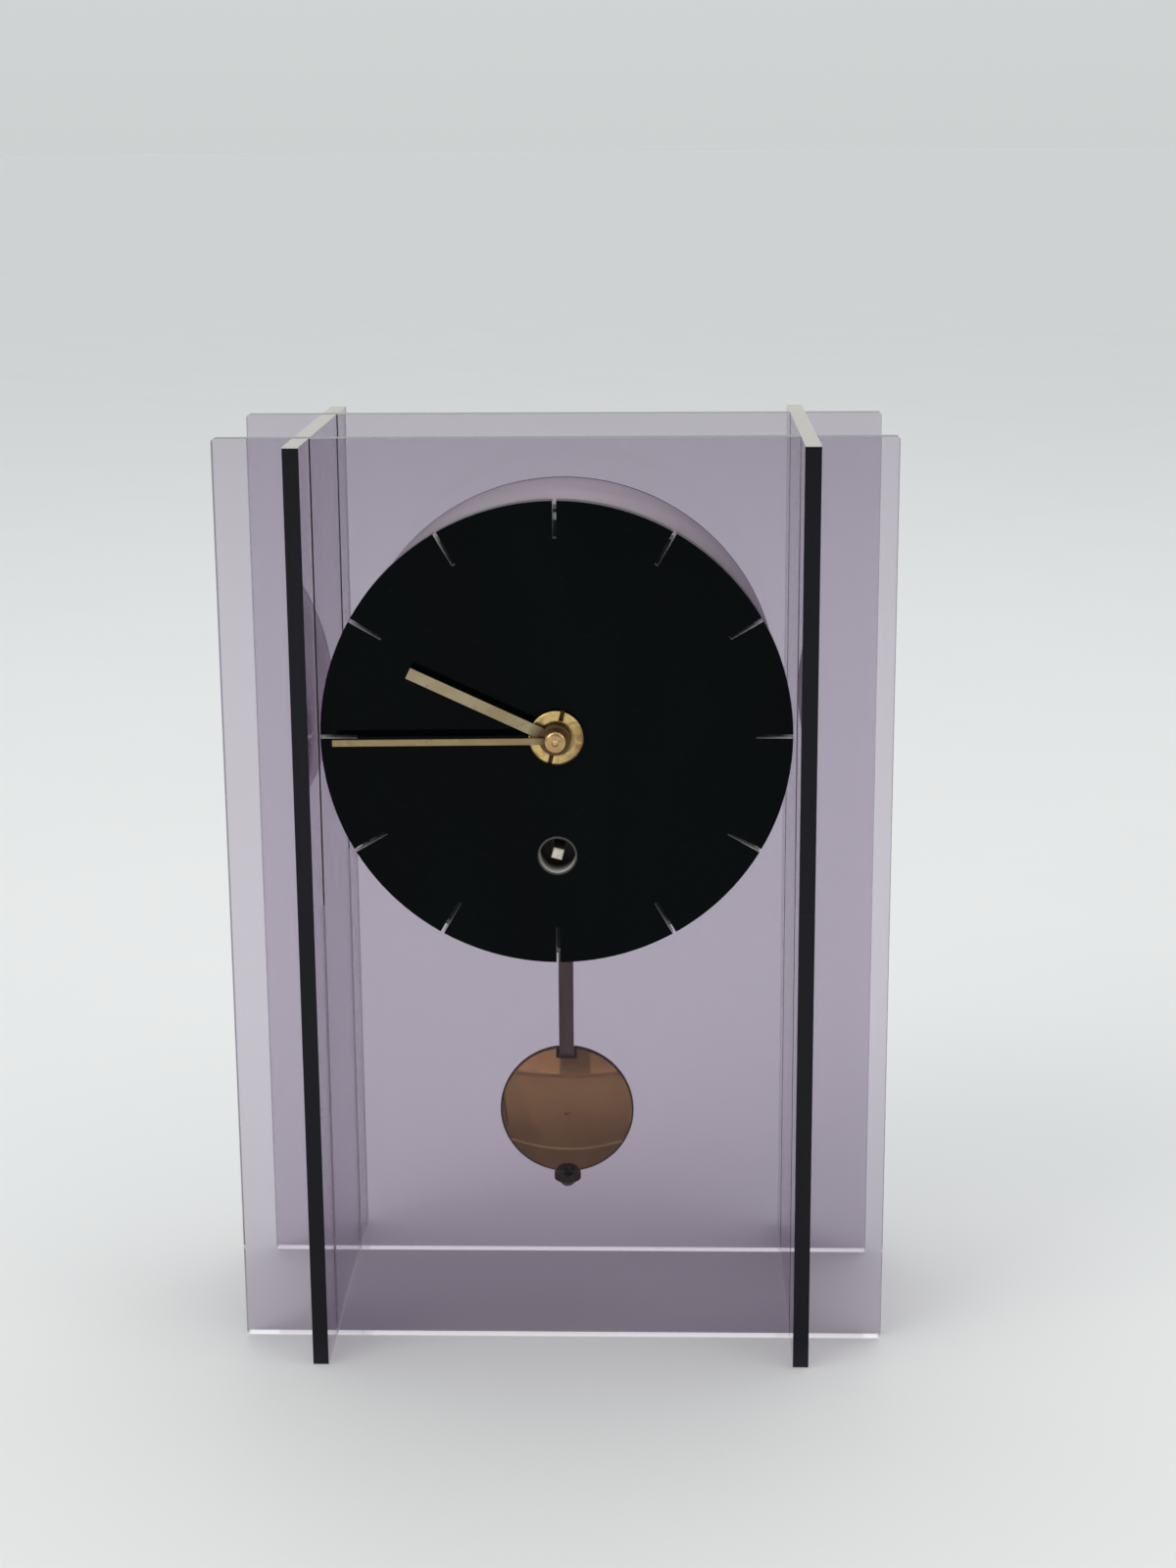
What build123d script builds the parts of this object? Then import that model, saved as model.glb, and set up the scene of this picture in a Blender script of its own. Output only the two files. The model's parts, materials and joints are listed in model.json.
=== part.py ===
# Desk pendulum clock: four crossed acrylic sheets carry a drum that holds a spring-driven movement.
# Millimetres. +Z is up, the dial faces -Y, and the origin is at the middle of the base.
import os
from math import acos, atan2, cos, degrees, pi, radians, sin, sqrt, tan

from build123d import *

# Cabinet of four sheets that slot into each other
sheet_thickness = 5.0
panel_width = 210.0
side_depth = 120.0
side_spacing = 155.0
panel_spacing = 70.0
lap_clearance = 0.1
sheet_corner_radius = 1.0

# Dial, its drum and the hole that the drum passes through
dial_axis_height = 205.0
panel_rise = 92.0
dial_radius = 73.5
dial_thickness = 5.0
hour_mark_count = 12
hour_mark_width = 1.2
hour_mark_length = 11.5
drum_radius = 71.5
drum_wall = 1.2
drum_hole_clearance = 0.3
drum_lip_width = 4.5
drum_lip_thickness = 1.0
drum_screw_count = 3
drum_screw_angle = 90
mount_disc_thickness = 2.0
mount_disc_clearance = 0.3
pendulum_slot_width = 26.0
pendulum_slot_reach = 12.0

# Movement frame
winding_drop = 38.4
motion_space = 5.5
plate_thickness = 2.0
plate_gap = 30.0
plate_width = 68.0
plate_end_radius = 66.0
plate_edge_chamfer = 0.4
pillar_radius = 3.0
pillar_waist_radius = 2.3
pillar_shoulder = 4.0
pillar_side = 29.0
pillar_low = -52.0
pillar_high = 44.0
pillar_nut_across = 5.5
pillar_nut_height = 2.2
pillar_thread_radius = 1.4
pillar_thread_spare = 0.8
post_radius = 2.6
post_side = 29.5
post_low = -30.0
post_high = 26.0
screw_shank_radius = 1.2
screw_head_radius = 2.4
screw_head_height = 1.3
screw_slot_width = 0.6
screw_slot_depth = 0.6
screw_fit = 0.02
seat_clearance = 0.02
running_clearance = 0.05
overrun = 2.0

# Tubes and nuts about the dial's centre, from the arbor outwards
centre_arbor_radius = 1.5
cannon_pipe_wall = 1.0
hour_pipe_wall = 1.05
pipe_clearance = 0.06
centre_sleeve_wall = 1.8
sleeve_flange_radius = 8.0
sleeve_flange_thickness = 0.6
sleeve_recess = 1.0
ring_nut_radius = 8.5
ring_nut_height = 2.6
ring_nut_chamfer = 0.5
ring_nut_slot_width = 1.4
ring_nut_slot_depth = 2.2
ring_nut_angle = -14.5

# Hands
hand_thickness = 0.8
hand_gap = 0.6
minute_hand_length = 69.0
minute_hand_width = 2.0
minute_hand_angle = 269.5
minute_eye_radius = 3.4
hour_hand_length = 50.0
hour_hand_width = 3.6
hour_hand_angle = 295.0
hour_boss_radius = 4.75
hour_boss_height = 2.4
hour_blade_inset = 0.4
hand_nut_radius = 3.65
hand_nut_rim = 0.9
hand_nut_height = 2.6
hand_nut_thread_radius = 1.1
cannon_nose_reach = 0.5

# Winding hole and square
winding_sleeve_radius = 6.2
winding_sleeve_wall = 0.6
winding_square = 3.5
winding_square_recess = 2.0
winding_square_bevel = 0.35

# Tooth proportions in shares of the module or of the pitch
wheel_tip_share = 0.95
wheel_root_share = 1.25
pinion_tip_share = 0.60
pinion_root_share = 1.30
wheel_tooth_shares = (0.62, 0.18)
pinion_leaf_shares = (0.34, 0.24)

# Going train: teeth and modules, then the widths and places of the wheels between the plates
great_teeth = 64
great_module = 0.8
intermediate_leaves = 10
intermediate_teeth = 60
intermediate_module = 0.6
centre_leaves = 10
centre_teeth = 72
centre_module = 0.5
third_leaves = 6
third_teeth = 70
third_module = 0.4
escape_leaves = 6
wheel_thickness = 1.2
pinion_spare = 0.5
arbor_radius = 0.65
pivot_radius = 0.45
pivot_spare = 0.2
arbor_end_shake = 0.15
collet_radius = 2.4
collet_height = 1.4
hub_radius = 3.6
rim_width = 2.2
spoke_width = 1.5
spoke_count = 5
third_axis_side = 13.8
wheel_air = 1.0

# Barrel, mainspring and winding work
barrel_radius = 22.0
barrel_wall = 1.0
barrel_length = 19.0
barrel_front_air = 3.6
barrel_cover_thickness = 1.2
barrel_arbor_radius = 3.4
barrel_pivot_radius = 2.6
great_wheel_thickness = 2.0
mainspring_strip = 0.6
mainspring_turns = 5
mainspring_steps = 16
mainspring_air = 0.5
ratchet_teeth = 20
ratchet_radius = 10.0
ratchet_tooth_depth = 1.5
ratchet_thickness = 1.6
ratchet_air = 0.3
click_length = 12.5
click_boss_radius = 3.0
click_thickness = 1.6
click_clearance = 0.3
click_nose = 1.6
click_engagement = 0.8
click_lift_angle = 4.5
click_screw_radius = 1.3
click_spring_strip = 0.5
click_spring_foot = 4.0
click_spring_foot_side = 21.0
click_spring_foot_rise = 15.0
click_spring_tip_side = 12.9
click_spring_tip_rise = 4.0

# Escapement
escape_teeth = 30
escape_radius = 13.0
escape_tooth_depth = 2.6
escape_tip_land = 0.2
escape_undercut_angle = 5.0
escape_back_angle = 9.0
spanned_space_count = 7.5
pallet_width = 0.7
pallet_rest_gap = 0.05
pallet_lift = 0.45
pallet_drop = 0.12
pallet_length = 4.0
anchor_arm_width = 2.4
anchor_hub_radius = 3.0
anchor_thickness = 2.0

# Motion work behind the dial
cannon_leaves = 12
minute_wheel_teeth = 36
motion_module = 0.6
minute_leaves = 10
hour_wheel_teeth = 40
motion_wheel_thickness = 1.0
minute_wheel_angle = 225.0
stud_radius = 1.2
stud_head_radius = 2.0
stud_head_height = 0.5
motion_air = 0.4

# Back cock, suspension and crutch
pendulum_plane_offset = 14.0
cock_stand_off = 6.0
cock_thickness = 2.0
cock_half_width = 13.0
cock_foot_width = 5.0
cock_rise = 14.0
cock_drop = 5.0
cock_arm_width = 7.0
cock_arm_height = 7.0
cock_arm_low = 3.2
cock_arm_tail = 4.5
chop_width = 8.0
chop_thickness = 1.4
chop_height = 5.0
chop_clearance = 0.1
chop_pin_radius = 0.8
suspension_length = 6.0
suspension_strip = 0.2
suspension_strip_width = 6.0
suspension_air = 0.2
crutch_width = 2.4
crutch_thickness = 1.2
crutch_length = 29.0
crutch_collet_radius = 3.0
crutch_collet_length = 2.6
fork_clearance = 0.12
fork_prong = 1.2
fork_depth = 3.0
fork_height = 2.4

# Pendulum
rod_width = 5.0
rod_thickness = 1.2
hook_cheek = 1.4
hook_wall = 1.1
hook_clearance = 0.1
hook_plate_height = 9.0
bob_radius = 23.0
bob_height = 59.5
bob_crown = 3.6
bob_edge = 1.2
bob_notch_width = 6.4
bob_notch_depth = 3.6
bob_slot_clearance = 0.15
rating_screw_radius = 1.25
rating_screw_reach = 6.0
rating_point_length = 1.8
rating_nut_radius = 4.6
rating_nut_height = 2.6
rating_nut_cone = 2.2
rating_nut_knurls = 24
rating_nut_knurl_depth = 0.3
rating_nut_gap = 0.2
rating_travel = 1.5

# Height of the sheets and places along Y, front to back
panel_height = dial_axis_height + panel_rise
front_face = -(panel_spacing + sheet_thickness) / 2
front_panel_back = front_face + sheet_thickness
rear_panel_front = (panel_spacing - sheet_thickness) / 2
dial_front = front_face - dial_thickness
mount_disc_back = front_face + mount_disc_thickness
front_plate_front = mount_disc_back + motion_space
front_plate_back = front_plate_front + plate_thickness
back_plate_front = front_plate_back + plate_gap
back_plate_back = back_plate_front + plate_thickness
pendulum_plane = back_plate_back + pendulum_plane_offset
arbor_front = front_plate_back + arbor_end_shake
arbor_back = back_plate_front - arbor_end_shake

# Radii of the nested tubes at the centre
cannon_bore_radius = centre_arbor_radius + running_clearance
cannon_pipe_radius = cannon_bore_radius + cannon_pipe_wall
hour_bore_radius = cannon_pipe_radius + pipe_clearance
hour_pipe_radius = hour_bore_radius + hour_pipe_wall
centre_sleeve_bore = hour_pipe_radius + pipe_clearance
centre_sleeve_radius = centre_sleeve_bore + centre_sleeve_wall

# Places of the hands in front of the dial
ring_nut_front = dial_front - ring_nut_height
hour_boss_back = ring_nut_front - hand_gap
hour_boss_front = hour_boss_back - hour_boss_height
minute_hand_back = hour_boss_front - hand_gap
minute_hand_front = minute_hand_back - hand_thickness
hand_nut_front = minute_hand_front - hand_nut_height


# Basic shapes
def turned(points):
    """A solid of revolution about the Y axis, from an outline of (radius, y) points."""
    return revolve(make_face(Polyline(*points, close=True)), Axis.Y)


def at(place, shape):
    """The shape moved from the Y axis to a parallel axis through (x, z)."""
    return Pos(place[0], 0, place[1]) * shape


def post(radius, y_start, y_end):
    """A cylinder along Y about the Y axis."""
    return Pos(0, y_start, 0) * Rot(X=-90) * Cylinder(
        radius, y_end - y_start, align=(Align.CENTER, Align.CENTER, Align.MIN))


def tube(radius, bore_radius, y_start, y_end):
    """A tube along Y about the Y axis."""
    return post(radius, y_start, y_end) - post(bore_radius, y_start - overrun, y_end + overrun)


def slab(outline, y_start, y_end):
    """An outline drawn in X and Z, given thickness from y_start to y_end."""
    plane = Plane(origin=(0, y_end, 0), x_dir=(1, 0, 0), z_dir=(0, -1, 0))
    return extrude(plane * outline, amount=y_end - y_start)


def block(x_range, y_range, z_range):
    """A box between pairs of coordinates."""
    size = [high - low for low, high in (x_range, y_range, z_range)]
    corner = (x_range[0], y_range[0], z_range[0])
    return Pos(*corner) * Box(*size, align=(Align.MIN, Align.MIN, Align.MIN))


def around_x(radius, x_start, x_end):
    """A cylinder along X about the X axis."""
    return Pos(x_start, 0, 0) * Rot(Y=90) * Cylinder(
        radius, x_end - x_start, align=(Align.CENTER, Align.CENTER, Align.MIN))


def around_z(radius, z_start, z_end):
    """A cylinder along Z about the Z axis."""
    return Pos(0, 0, z_start) * Cylinder(
        radius, z_end - z_start, align=(Align.CENTER, Align.CENTER, Align.MIN))


def polar(radius, angle):
    """A point in X and Z from a radius and an angle in degrees, anticlockwise from +X."""
    return radius * cos(radians(angle)), radius * sin(radians(angle))


def moved(place, radius, angle):
    """The place that lies at a radius and angle from another place."""
    offset = polar(radius, angle)
    return place[0] + offset[0], place[1] + offset[1]


def bearing(place, other):
    """The direction in degrees from one place to another."""
    return degrees(atan2(other[1] - place[1], other[0] - place[0]))


def places_about_centre(side, heights):
    """Mirrored pairs of places, at heights above the dial's axis."""
    return [(x, dial_axis_height + height) for height in heights for x in (-side, side)]


# Axes of the arbors in X and Z
def centre_distance(teeth, leaves, module):
    """The distance between a wheel and the pinion in mesh with it."""
    return module * (teeth + leaves) / 2


centre_axis = (0, dial_axis_height)
barrel_axis = (0, dial_axis_height - winding_drop)
barrel_reach = centre_distance(great_teeth, intermediate_leaves, great_module)
centre_reach = centre_distance(intermediate_teeth, centre_leaves, intermediate_module)
intermediate_angle = degrees(acos(
    (winding_drop**2 + barrel_reach**2 - centre_reach**2) / (2 * winding_drop * barrel_reach)))
intermediate_axis = moved(barrel_axis, barrel_reach, 90 - intermediate_angle)
third_reach = centre_distance(centre_teeth, third_leaves, centre_module)
escape_reach = centre_distance(third_teeth, escape_leaves, third_module)
third_axis = (third_axis_side, dial_axis_height + sqrt(third_reach**2 - third_axis_side**2))
escape_axis = (0, third_axis[1] + sqrt(escape_reach**2 - third_axis_side**2))
escape_pitch_angle = 360 / escape_teeth
half_span = spanned_space_count * escape_pitch_angle / 2
anchor_rise = escape_radius / cos(radians(half_span))
anchor_axis = (0, escape_axis[1] + anchor_rise)
anchor_reach = escape_radius * tan(radians(half_span))
motion_reach = centre_distance(minute_wheel_teeth, cannon_leaves, motion_module)
hour_module = 2 * motion_reach / (hour_wheel_teeth + minute_leaves)
minute_wheel_axis = moved(centre_axis, motion_reach, minute_wheel_angle)

# Layers of the train between the plates
barrel_front = front_plate_back + barrel_front_air
barrel_back = barrel_front + barrel_length
great_wheel_front = barrel_back
great_wheel_back = great_wheel_front + great_wheel_thickness
centre_wheel_front = great_wheel_back + wheel_air
intermediate_wheel_front = front_plate_back + wheel_air
third_wheel_front = centre_wheel_front - 2 * wheel_air - 3 * wheel_thickness
escape_wheel_front = (front_plate_back + third_wheel_front) / 2


# Toothed outlines
def tooth_outline(teeth, module, tip_share, root_share, tooth_shares, turn):
    """A closed outline of teeth, with the first tooth's middle at the angle turn."""
    pitch_radius = module * teeth / 2
    radii = (pitch_radius - root_share * module, pitch_radius + tip_share * module)
    pitch_angle = 360 / teeth
    points = []
    for number in range(teeth):
        middle = turn + number * pitch_angle
        for radius, share in zip(radii, tooth_shares):
            points.append(polar(radius, middle - share * pitch_angle / 2))
        for radius, share in reversed(list(zip(radii, tooth_shares))):
            points.append(polar(radius, middle + share * pitch_angle / 2))
    return Polygon(*points, align=None)


def wheel_outline(teeth, module, turn):
    """A wheel's outline, with one tooth pointing along the angle turn."""
    shares = (wheel_tip_share, wheel_root_share, wheel_tooth_shares)
    return tooth_outline(teeth, module, *shares, turn)


def pinion_outline(leaves, module, turn):
    """A pinion's outline, with a gap between leaves at the angle turn."""
    shares = (pinion_tip_share, pinion_root_share, pinion_leaf_shares)
    return tooth_outline(leaves, module, *shares, turn + 180 / leaves)


def crossed_out(outline, rim_inner_radius, turn):
    """A wheel's outline with its middle cut away to spokes and a hub."""
    arms = [Rot(Z=turn + number * 360 / spoke_count) * Rectangle(
        rim_inner_radius + rim_width / 2, spoke_width, align=(Align.MIN, Align.CENTER))
        for number in range(spoke_count)]
    return outline - Circle(rim_inner_radius) + Circle(hub_radius) + arms


def train_wheel(teeth, module, turn, y_start, bore_radius):
    """A crossed-out wheel with its bore, about the Y axis."""
    rim_inner_radius = module * teeth / 2 - wheel_root_share * module - rim_width
    outline = crossed_out(wheel_outline(teeth, module, turn), rim_inner_radius, turn)
    return slab(outline - Circle(bore_radius), y_start, y_start + wheel_thickness)


def train_arbor(wheel_front, pinion, pinion_middle, pinion_length):
    """An arbor with pivots, a wheel's collet and a pinion cut from the same steel."""
    pivot_front = front_plate_front - pivot_spare
    pivot_back = back_plate_back + pivot_spare
    shaft = turned([
        (0, pivot_front), (pivot_radius, pivot_front), (pivot_radius, arbor_front),
        (arbor_radius, arbor_front), (arbor_radius, arbor_back),
        (pivot_radius, arbor_back), (pivot_radius, pivot_back), (0, pivot_back)])
    seat = turned([
        (0, wheel_front), (collet_radius - seat_clearance, wheel_front),
        (collet_radius - seat_clearance, wheel_front + wheel_thickness),
        (hub_radius, wheel_front + wheel_thickness),
        (hub_radius, wheel_front + wheel_thickness + collet_height / 2),
        (collet_radius, wheel_front + wheel_thickness + collet_height),
        (0, wheel_front + wheel_thickness + collet_height)])
    leaves = slab(pinion, pinion_middle - pinion_length / 2, pinion_middle + pinion_length / 2)
    return shaft + seat + leaves


def slotted_screw(radius, head_radius, length, head_y, direction):
    """A cheese-headed screw whose head stands from head_y against its direction along Y."""
    tip = head_y + direction * length
    top = head_y - direction * screw_head_height
    shank = post(radius, min(head_y, tip), max(head_y, tip))
    head = post(head_radius, min(head_y, top), max(head_y, top))
    slot_floor = top + direction * screw_slot_depth
    slot = block(
        (-head_radius - overrun, head_radius + overrun),
        (min(slot_floor, top - direction * overrun), max(slot_floor, top - direction * overrun)),
        (-screw_slot_width / 2, screw_slot_width / 2))
    return shank + head - slot


# Cabinet sheets
def slab_x(outline, x_start, x_end):
    """An outline drawn in Y and Z, given thickness from x_start to x_end."""
    plane = Plane(origin=(x_start, 0, 0), x_dir=(0, 1, 0), z_dir=(1, 0, 0))
    return extrude(plane * outline, amount=x_end - x_start)


def sheet_outline(width, slots):
    """A sheet's outline with its half-height lap slots, each a (middle, from_top) pair."""
    outline = Pos(0, panel_height / 2) * RectangleRounded(width, panel_height, sheet_corner_radius)
    slot_width = sheet_thickness + 2 * lap_clearance
    for middle, from_top in slots:
        low = panel_height / 2 if from_top else -overrun
        outline -= Pos(middle, low) * Rectangle(
            slot_width, panel_height / 2 + overrun, align=(Align.CENTER, Align.MIN))
    return outline


def panel_outline():
    """The front and rear sheets are slotted from below on the left and from above on the right."""
    return sheet_outline(panel_width, [(-side_spacing / 2, False), (side_spacing / 2, True)])


def front_panel():
    hole = Pos(*centre_axis) * Circle(drum_radius + drum_hole_clearance)
    return slab(panel_outline() - hole, front_face, front_panel_back)


def rear_panel():
    return slab(panel_outline(), rear_panel_front, rear_panel_front + sheet_thickness)


def side_panel(middle, from_top):
    """A side sheet about x = middle, with both of its slots from above or both from below."""
    outline = sheet_outline(side_depth, [(-panel_spacing / 2, from_top), (panel_spacing / 2, from_top)])
    return slab_x(outline, middle - sheet_thickness / 2, middle + sheet_thickness / 2)


# Dial and drum
def dial_disc():
    mark = Pos(0, dial_radius - hour_mark_length) * Rectangle(
        hour_mark_width, hour_mark_length + overrun, align=(Align.CENTER, Align.MIN))
    marks = [Rot(Z=number * 360 / hour_mark_count) * mark for number in range(hour_mark_count)]
    outline = Circle(dial_radius) - Circle(centre_sleeve_radius + seat_clearance) - marks
    outline -= Pos(0, -winding_drop) * Circle(winding_sleeve_radius + seat_clearance)
    return at(centre_axis, slab(outline, dial_front, front_face))


def drum_screw_places():
    radius = drum_radius - drum_wall - drum_lip_width / 2
    return [moved(centre_axis, radius, drum_screw_angle + number * 360 / drum_screw_count)
            for number in range(drum_screw_count)]


def post_places():
    return places_about_centre(post_side, (post_low, post_high))


def countersunk_screw():
    """A screw sunk flush into the front of the mounting disc."""
    head_back = front_face + screw_head_height
    tip = front_plate_front - seat_clearance
    screw = turned([
        (0, front_face), (screw_head_radius, front_face), (screw_shank_radius, head_back),
        (screw_shank_radius, tip), (0, tip)])
    slot = block(
        (-screw_head_radius - overrun, screw_head_radius + overrun),
        (front_face - overrun, front_face + screw_slot_depth),
        (-screw_slot_width / 2, screw_slot_width / 2))
    return screw - slot


def countersink():
    """The space that a countersunk screw takes in the mounting disc."""
    return turned([
        (0, front_face - overrun), (screw_head_radius + screw_fit, front_face - overrun),
        (screw_head_radius + screw_fit, front_face),
        (screw_shank_radius + screw_fit, front_face + screw_head_height),
        (screw_shank_radius + screw_fit, mount_disc_back + overrun), (0, mount_disc_back + overrun)])


def mounting_disc():
    outline = Circle(drum_radius - drum_wall - mount_disc_clearance)
    outline -= Circle(centre_sleeve_radius + seat_clearance)
    outline -= Pos(0, -winding_drop) * Circle(winding_sleeve_radius + seat_clearance)
    disc = at(centre_axis, slab(outline, front_face, mount_disc_back))
    disc -= [at(place, countersink()) for place in post_places()]
    hole = post(screw_shank_radius + screw_fit, front_face - overrun, mount_disc_back + overrun)
    return disc - [at(place, hole) for place in drum_screw_places()]


def drum_case():
    """The drum's wall with its turned-in lip, open below at the back for the pendulum."""
    inner = drum_radius - drum_wall
    lip_back = mount_disc_back + drum_lip_thickness
    wall = tube(drum_radius, inner, front_face, rear_panel_front)
    lip = tube(drum_radius - drum_wall / 2, inner - drum_lip_width, mount_disc_back, lip_back)
    case = at(centre_axis, wall + lip)
    hole = post(screw_shank_radius + screw_fit, mount_disc_back - overrun, lip_back + overrun)
    case -= [at(place, hole) for place in drum_screw_places()]
    return case - block(
        (-pendulum_slot_width / 2, pendulum_slot_width / 2),
        (pendulum_plane - pendulum_slot_reach / 2, rear_panel_front + overrun),
        (dial_axis_height - drum_radius - overrun, dial_axis_height - drum_radius * 3 / 4))


def drum_screws():
    head_y = mount_disc_back + drum_lip_thickness
    length = head_y - front_face - screw_slot_depth
    screw = slotted_screw(screw_shank_radius, drum_lip_width / 2 - seat_clearance, length, head_y, -1)
    return [at(place, screw) for place in drum_screw_places()]


def winding_sleeve():
    end = front_plate_front - seat_clearance
    bore = winding_sleeve_radius - winding_sleeve_wall
    return at(barrel_axis, tube(winding_sleeve_radius, bore, dial_front, end))


def centre_sleeve():
    tip = ring_nut_front + sleeve_recess
    pipe = tube(centre_sleeve_radius, centre_sleeve_bore, tip, mount_disc_back)
    flange = tube(sleeve_flange_radius, centre_sleeve_bore,
                  mount_disc_back, mount_disc_back + sleeve_flange_thickness)
    return at(centre_axis, pipe + flange)


def dial_ring_nut():
    bore = centre_sleeve_radius + seat_clearance
    ring = turned([
        (bore, dial_front), (ring_nut_radius, dial_front),
        (ring_nut_radius, ring_nut_front + ring_nut_chamfer),
        (ring_nut_radius - ring_nut_chamfer, ring_nut_front), (bore, ring_nut_front)])
    slot = block(
        (-ring_nut_slot_width / 2, ring_nut_slot_width / 2),
        (ring_nut_front - overrun, ring_nut_front + ring_nut_slot_depth),
        (-ring_nut_radius - overrun, ring_nut_radius + overrun))
    return at(centre_axis, Rot(Y=-ring_nut_angle) * (ring - slot))


# Hands and motion work
minute_wheel_back = front_plate_front - 2 * motion_air
minute_wheel_front = minute_wheel_back - motion_wheel_thickness
cannon_pinion_back = minute_wheel_back + motion_air
cannon_pinion_front = minute_wheel_front - motion_air
hour_wheel_back = cannon_pinion_front - motion_air
hour_wheel_front = hour_wheel_back - motion_wheel_thickness
minute_pinion_front = hour_wheel_front - motion_air


def blade(length, width, turn):
    """A parallel hand from the centre, with its turn in degrees clockwise from twelve."""
    return Rot(Z=90 - turn) * Rectangle(length, width, align=(Align.MIN, Align.CENTER))


def hour_hand():
    bore = post(hour_pipe_radius + seat_clearance, hour_boss_front - overrun, hour_boss_back + overrun)
    boss = post(hour_boss_radius, hour_boss_front, hour_boss_back)
    blade_front = hour_boss_front + hour_blade_inset
    arm = slab(blade(hour_hand_length, hour_hand_width, hour_hand_angle),
               blade_front, blade_front + hand_thickness)
    return at(centre_axis, boss + arm - bore)


def minute_hand():
    outline = Circle(minute_eye_radius) + blade(minute_hand_length, minute_hand_width, minute_hand_angle)
    outline -= Circle(cannon_pipe_radius + seat_clearance)
    return at(centre_axis, slab(outline, minute_hand_front, minute_hand_back))


def hand_nut():
    """A round domed nut on the cannon pinion's nose."""
    bore = hand_nut_thread_radius + seat_clearance
    rim_front = minute_hand_front - hand_nut_rim
    crown_radius = 2 * bore
    rise = rim_front - hand_nut_front
    run = hand_nut_radius - crown_radius
    shoulder = (crown_radius + run * cos(pi / 4), rim_front - rise * sin(pi / 4))
    outline = Polyline(
        (crown_radius, hand_nut_front), (bore, hand_nut_front), (bore, minute_hand_front),
        (hand_nut_radius, minute_hand_front), (hand_nut_radius, rim_front))
    outline += ThreePointArc((hand_nut_radius, rim_front), shoulder, (crown_radius, hand_nut_front))
    return at(centre_axis, revolve(make_face(outline), Axis.Y))


def hour_wheel():
    turn = bearing(centre_axis, minute_wheel_axis)
    outline = wheel_outline(hour_wheel_teeth, hour_module, turn) - Circle(hour_bore_radius)
    wheel = slab(outline, hour_wheel_front, hour_wheel_back)
    pipe = tube(hour_pipe_radius, hour_bore_radius, hour_boss_front, hour_wheel_back)
    return at(centre_axis, wheel + pipe)


def cannon_pinion():
    """A pinion on a pipe, whose closed and threaded nose takes the hand nut."""
    turn = bearing(centre_axis, minute_wheel_axis)
    outline = pinion_outline(cannon_leaves, motion_module, turn) - Circle(cannon_bore_radius)
    pinion = slab(outline, cannon_pinion_front, cannon_pinion_back)
    tip = hand_nut_front - cannon_nose_reach
    point = hand_nut_thread_radius / 2
    pipe = turned([
        (0, tip), (point, tip), (hand_nut_thread_radius, tip + point),
        (hand_nut_thread_radius, minute_hand_front), (cannon_pipe_radius, minute_hand_front),
        (cannon_pipe_radius, cannon_pinion_front), (cannon_bore_radius, cannon_pinion_front),
        (cannon_bore_radius, minute_hand_back), (0, minute_hand_back)])
    return at(centre_axis, pinion + pipe)


def minute_wheel():
    turn = bearing(minute_wheel_axis, centre_axis)
    wheel = slab(wheel_outline(minute_wheel_teeth, motion_module, turn),
                 minute_wheel_front, minute_wheel_back)
    pinion = slab(pinion_outline(minute_leaves, hour_module, turn), minute_pinion_front, minute_wheel_front)
    bore = post(stud_radius + running_clearance, minute_pinion_front - overrun, minute_wheel_back + overrun)
    return at(minute_wheel_axis, wheel + pinion - bore)


def minute_wheel_stud():
    head_back = minute_pinion_front - motion_air
    shank = post(stud_radius, head_back, front_plate_back)
    return at(minute_wheel_axis, shank + post(stud_head_radius, head_back - stud_head_height, head_back))


# Movement frame
def pillar_places():
    return places_about_centre(pillar_side, (pillar_low, pillar_high))


def cock_screw_places():
    side = cock_half_width - cock_foot_width / 2
    height = anchor_axis[1] + (cock_rise - cock_drop) / 2
    return [(-side, height), (side, height)]


def plate_blank(y_start):
    """A plate with flat sides and round ends, bevelled on both faces."""
    outline = Circle(plate_end_radius) & Rectangle(plate_width, 2 * plate_end_radius)
    plate = at(centre_axis, slab(outline, y_start, y_start + plate_thickness))
    faces = plate.faces().filter_by(Axis.Y)
    return chamfer(faces.edges(), plate_edge_chamfer)


def drilled(solid, holes, y_start):
    """The solid with round holes, each a (place, radius) pair, through its plate."""
    for place, radius in holes:
        solid -= at(place, post(radius, y_start - overrun, y_start + plate_thickness + overrun))
    return solid


def front_plate():
    holes = [(place, pivot_radius + running_clearance)
             for place in (intermediate_axis, third_axis, escape_axis, anchor_axis)]
    holes += [(centre_axis, centre_arbor_radius + running_clearance)]
    holes += [(barrel_axis, barrel_pivot_radius + running_clearance)]
    holes += [(minute_wheel_axis, stud_radius + seat_clearance)]
    holes += [(place, pillar_thread_radius + seat_clearance) for place in pillar_places() + post_places()]
    return drilled(plate_blank(front_plate_front), holes, front_plate_front)


def back_plate():
    holes = [(place, pivot_radius + running_clearance)
             for place in (intermediate_axis, third_axis, escape_axis, centre_axis)]
    holes += [(barrel_axis, barrel_pivot_radius + running_clearance)]
    holes += [(anchor_axis, anchor_hub_radius)]
    holes += [(place, pillar_thread_radius + seat_clearance) for place in pillar_places()]
    holes += [(place, screw_shank_radius + screw_fit) for place in cock_screw_places()]
    holes += [(click_axis, click_screw_radius + seat_clearance)]
    holes += [(click_spring_foot_place, screw_shank_radius + screw_fit)]
    return drilled(plate_blank(back_plate_front), holes, back_plate_front)


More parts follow.
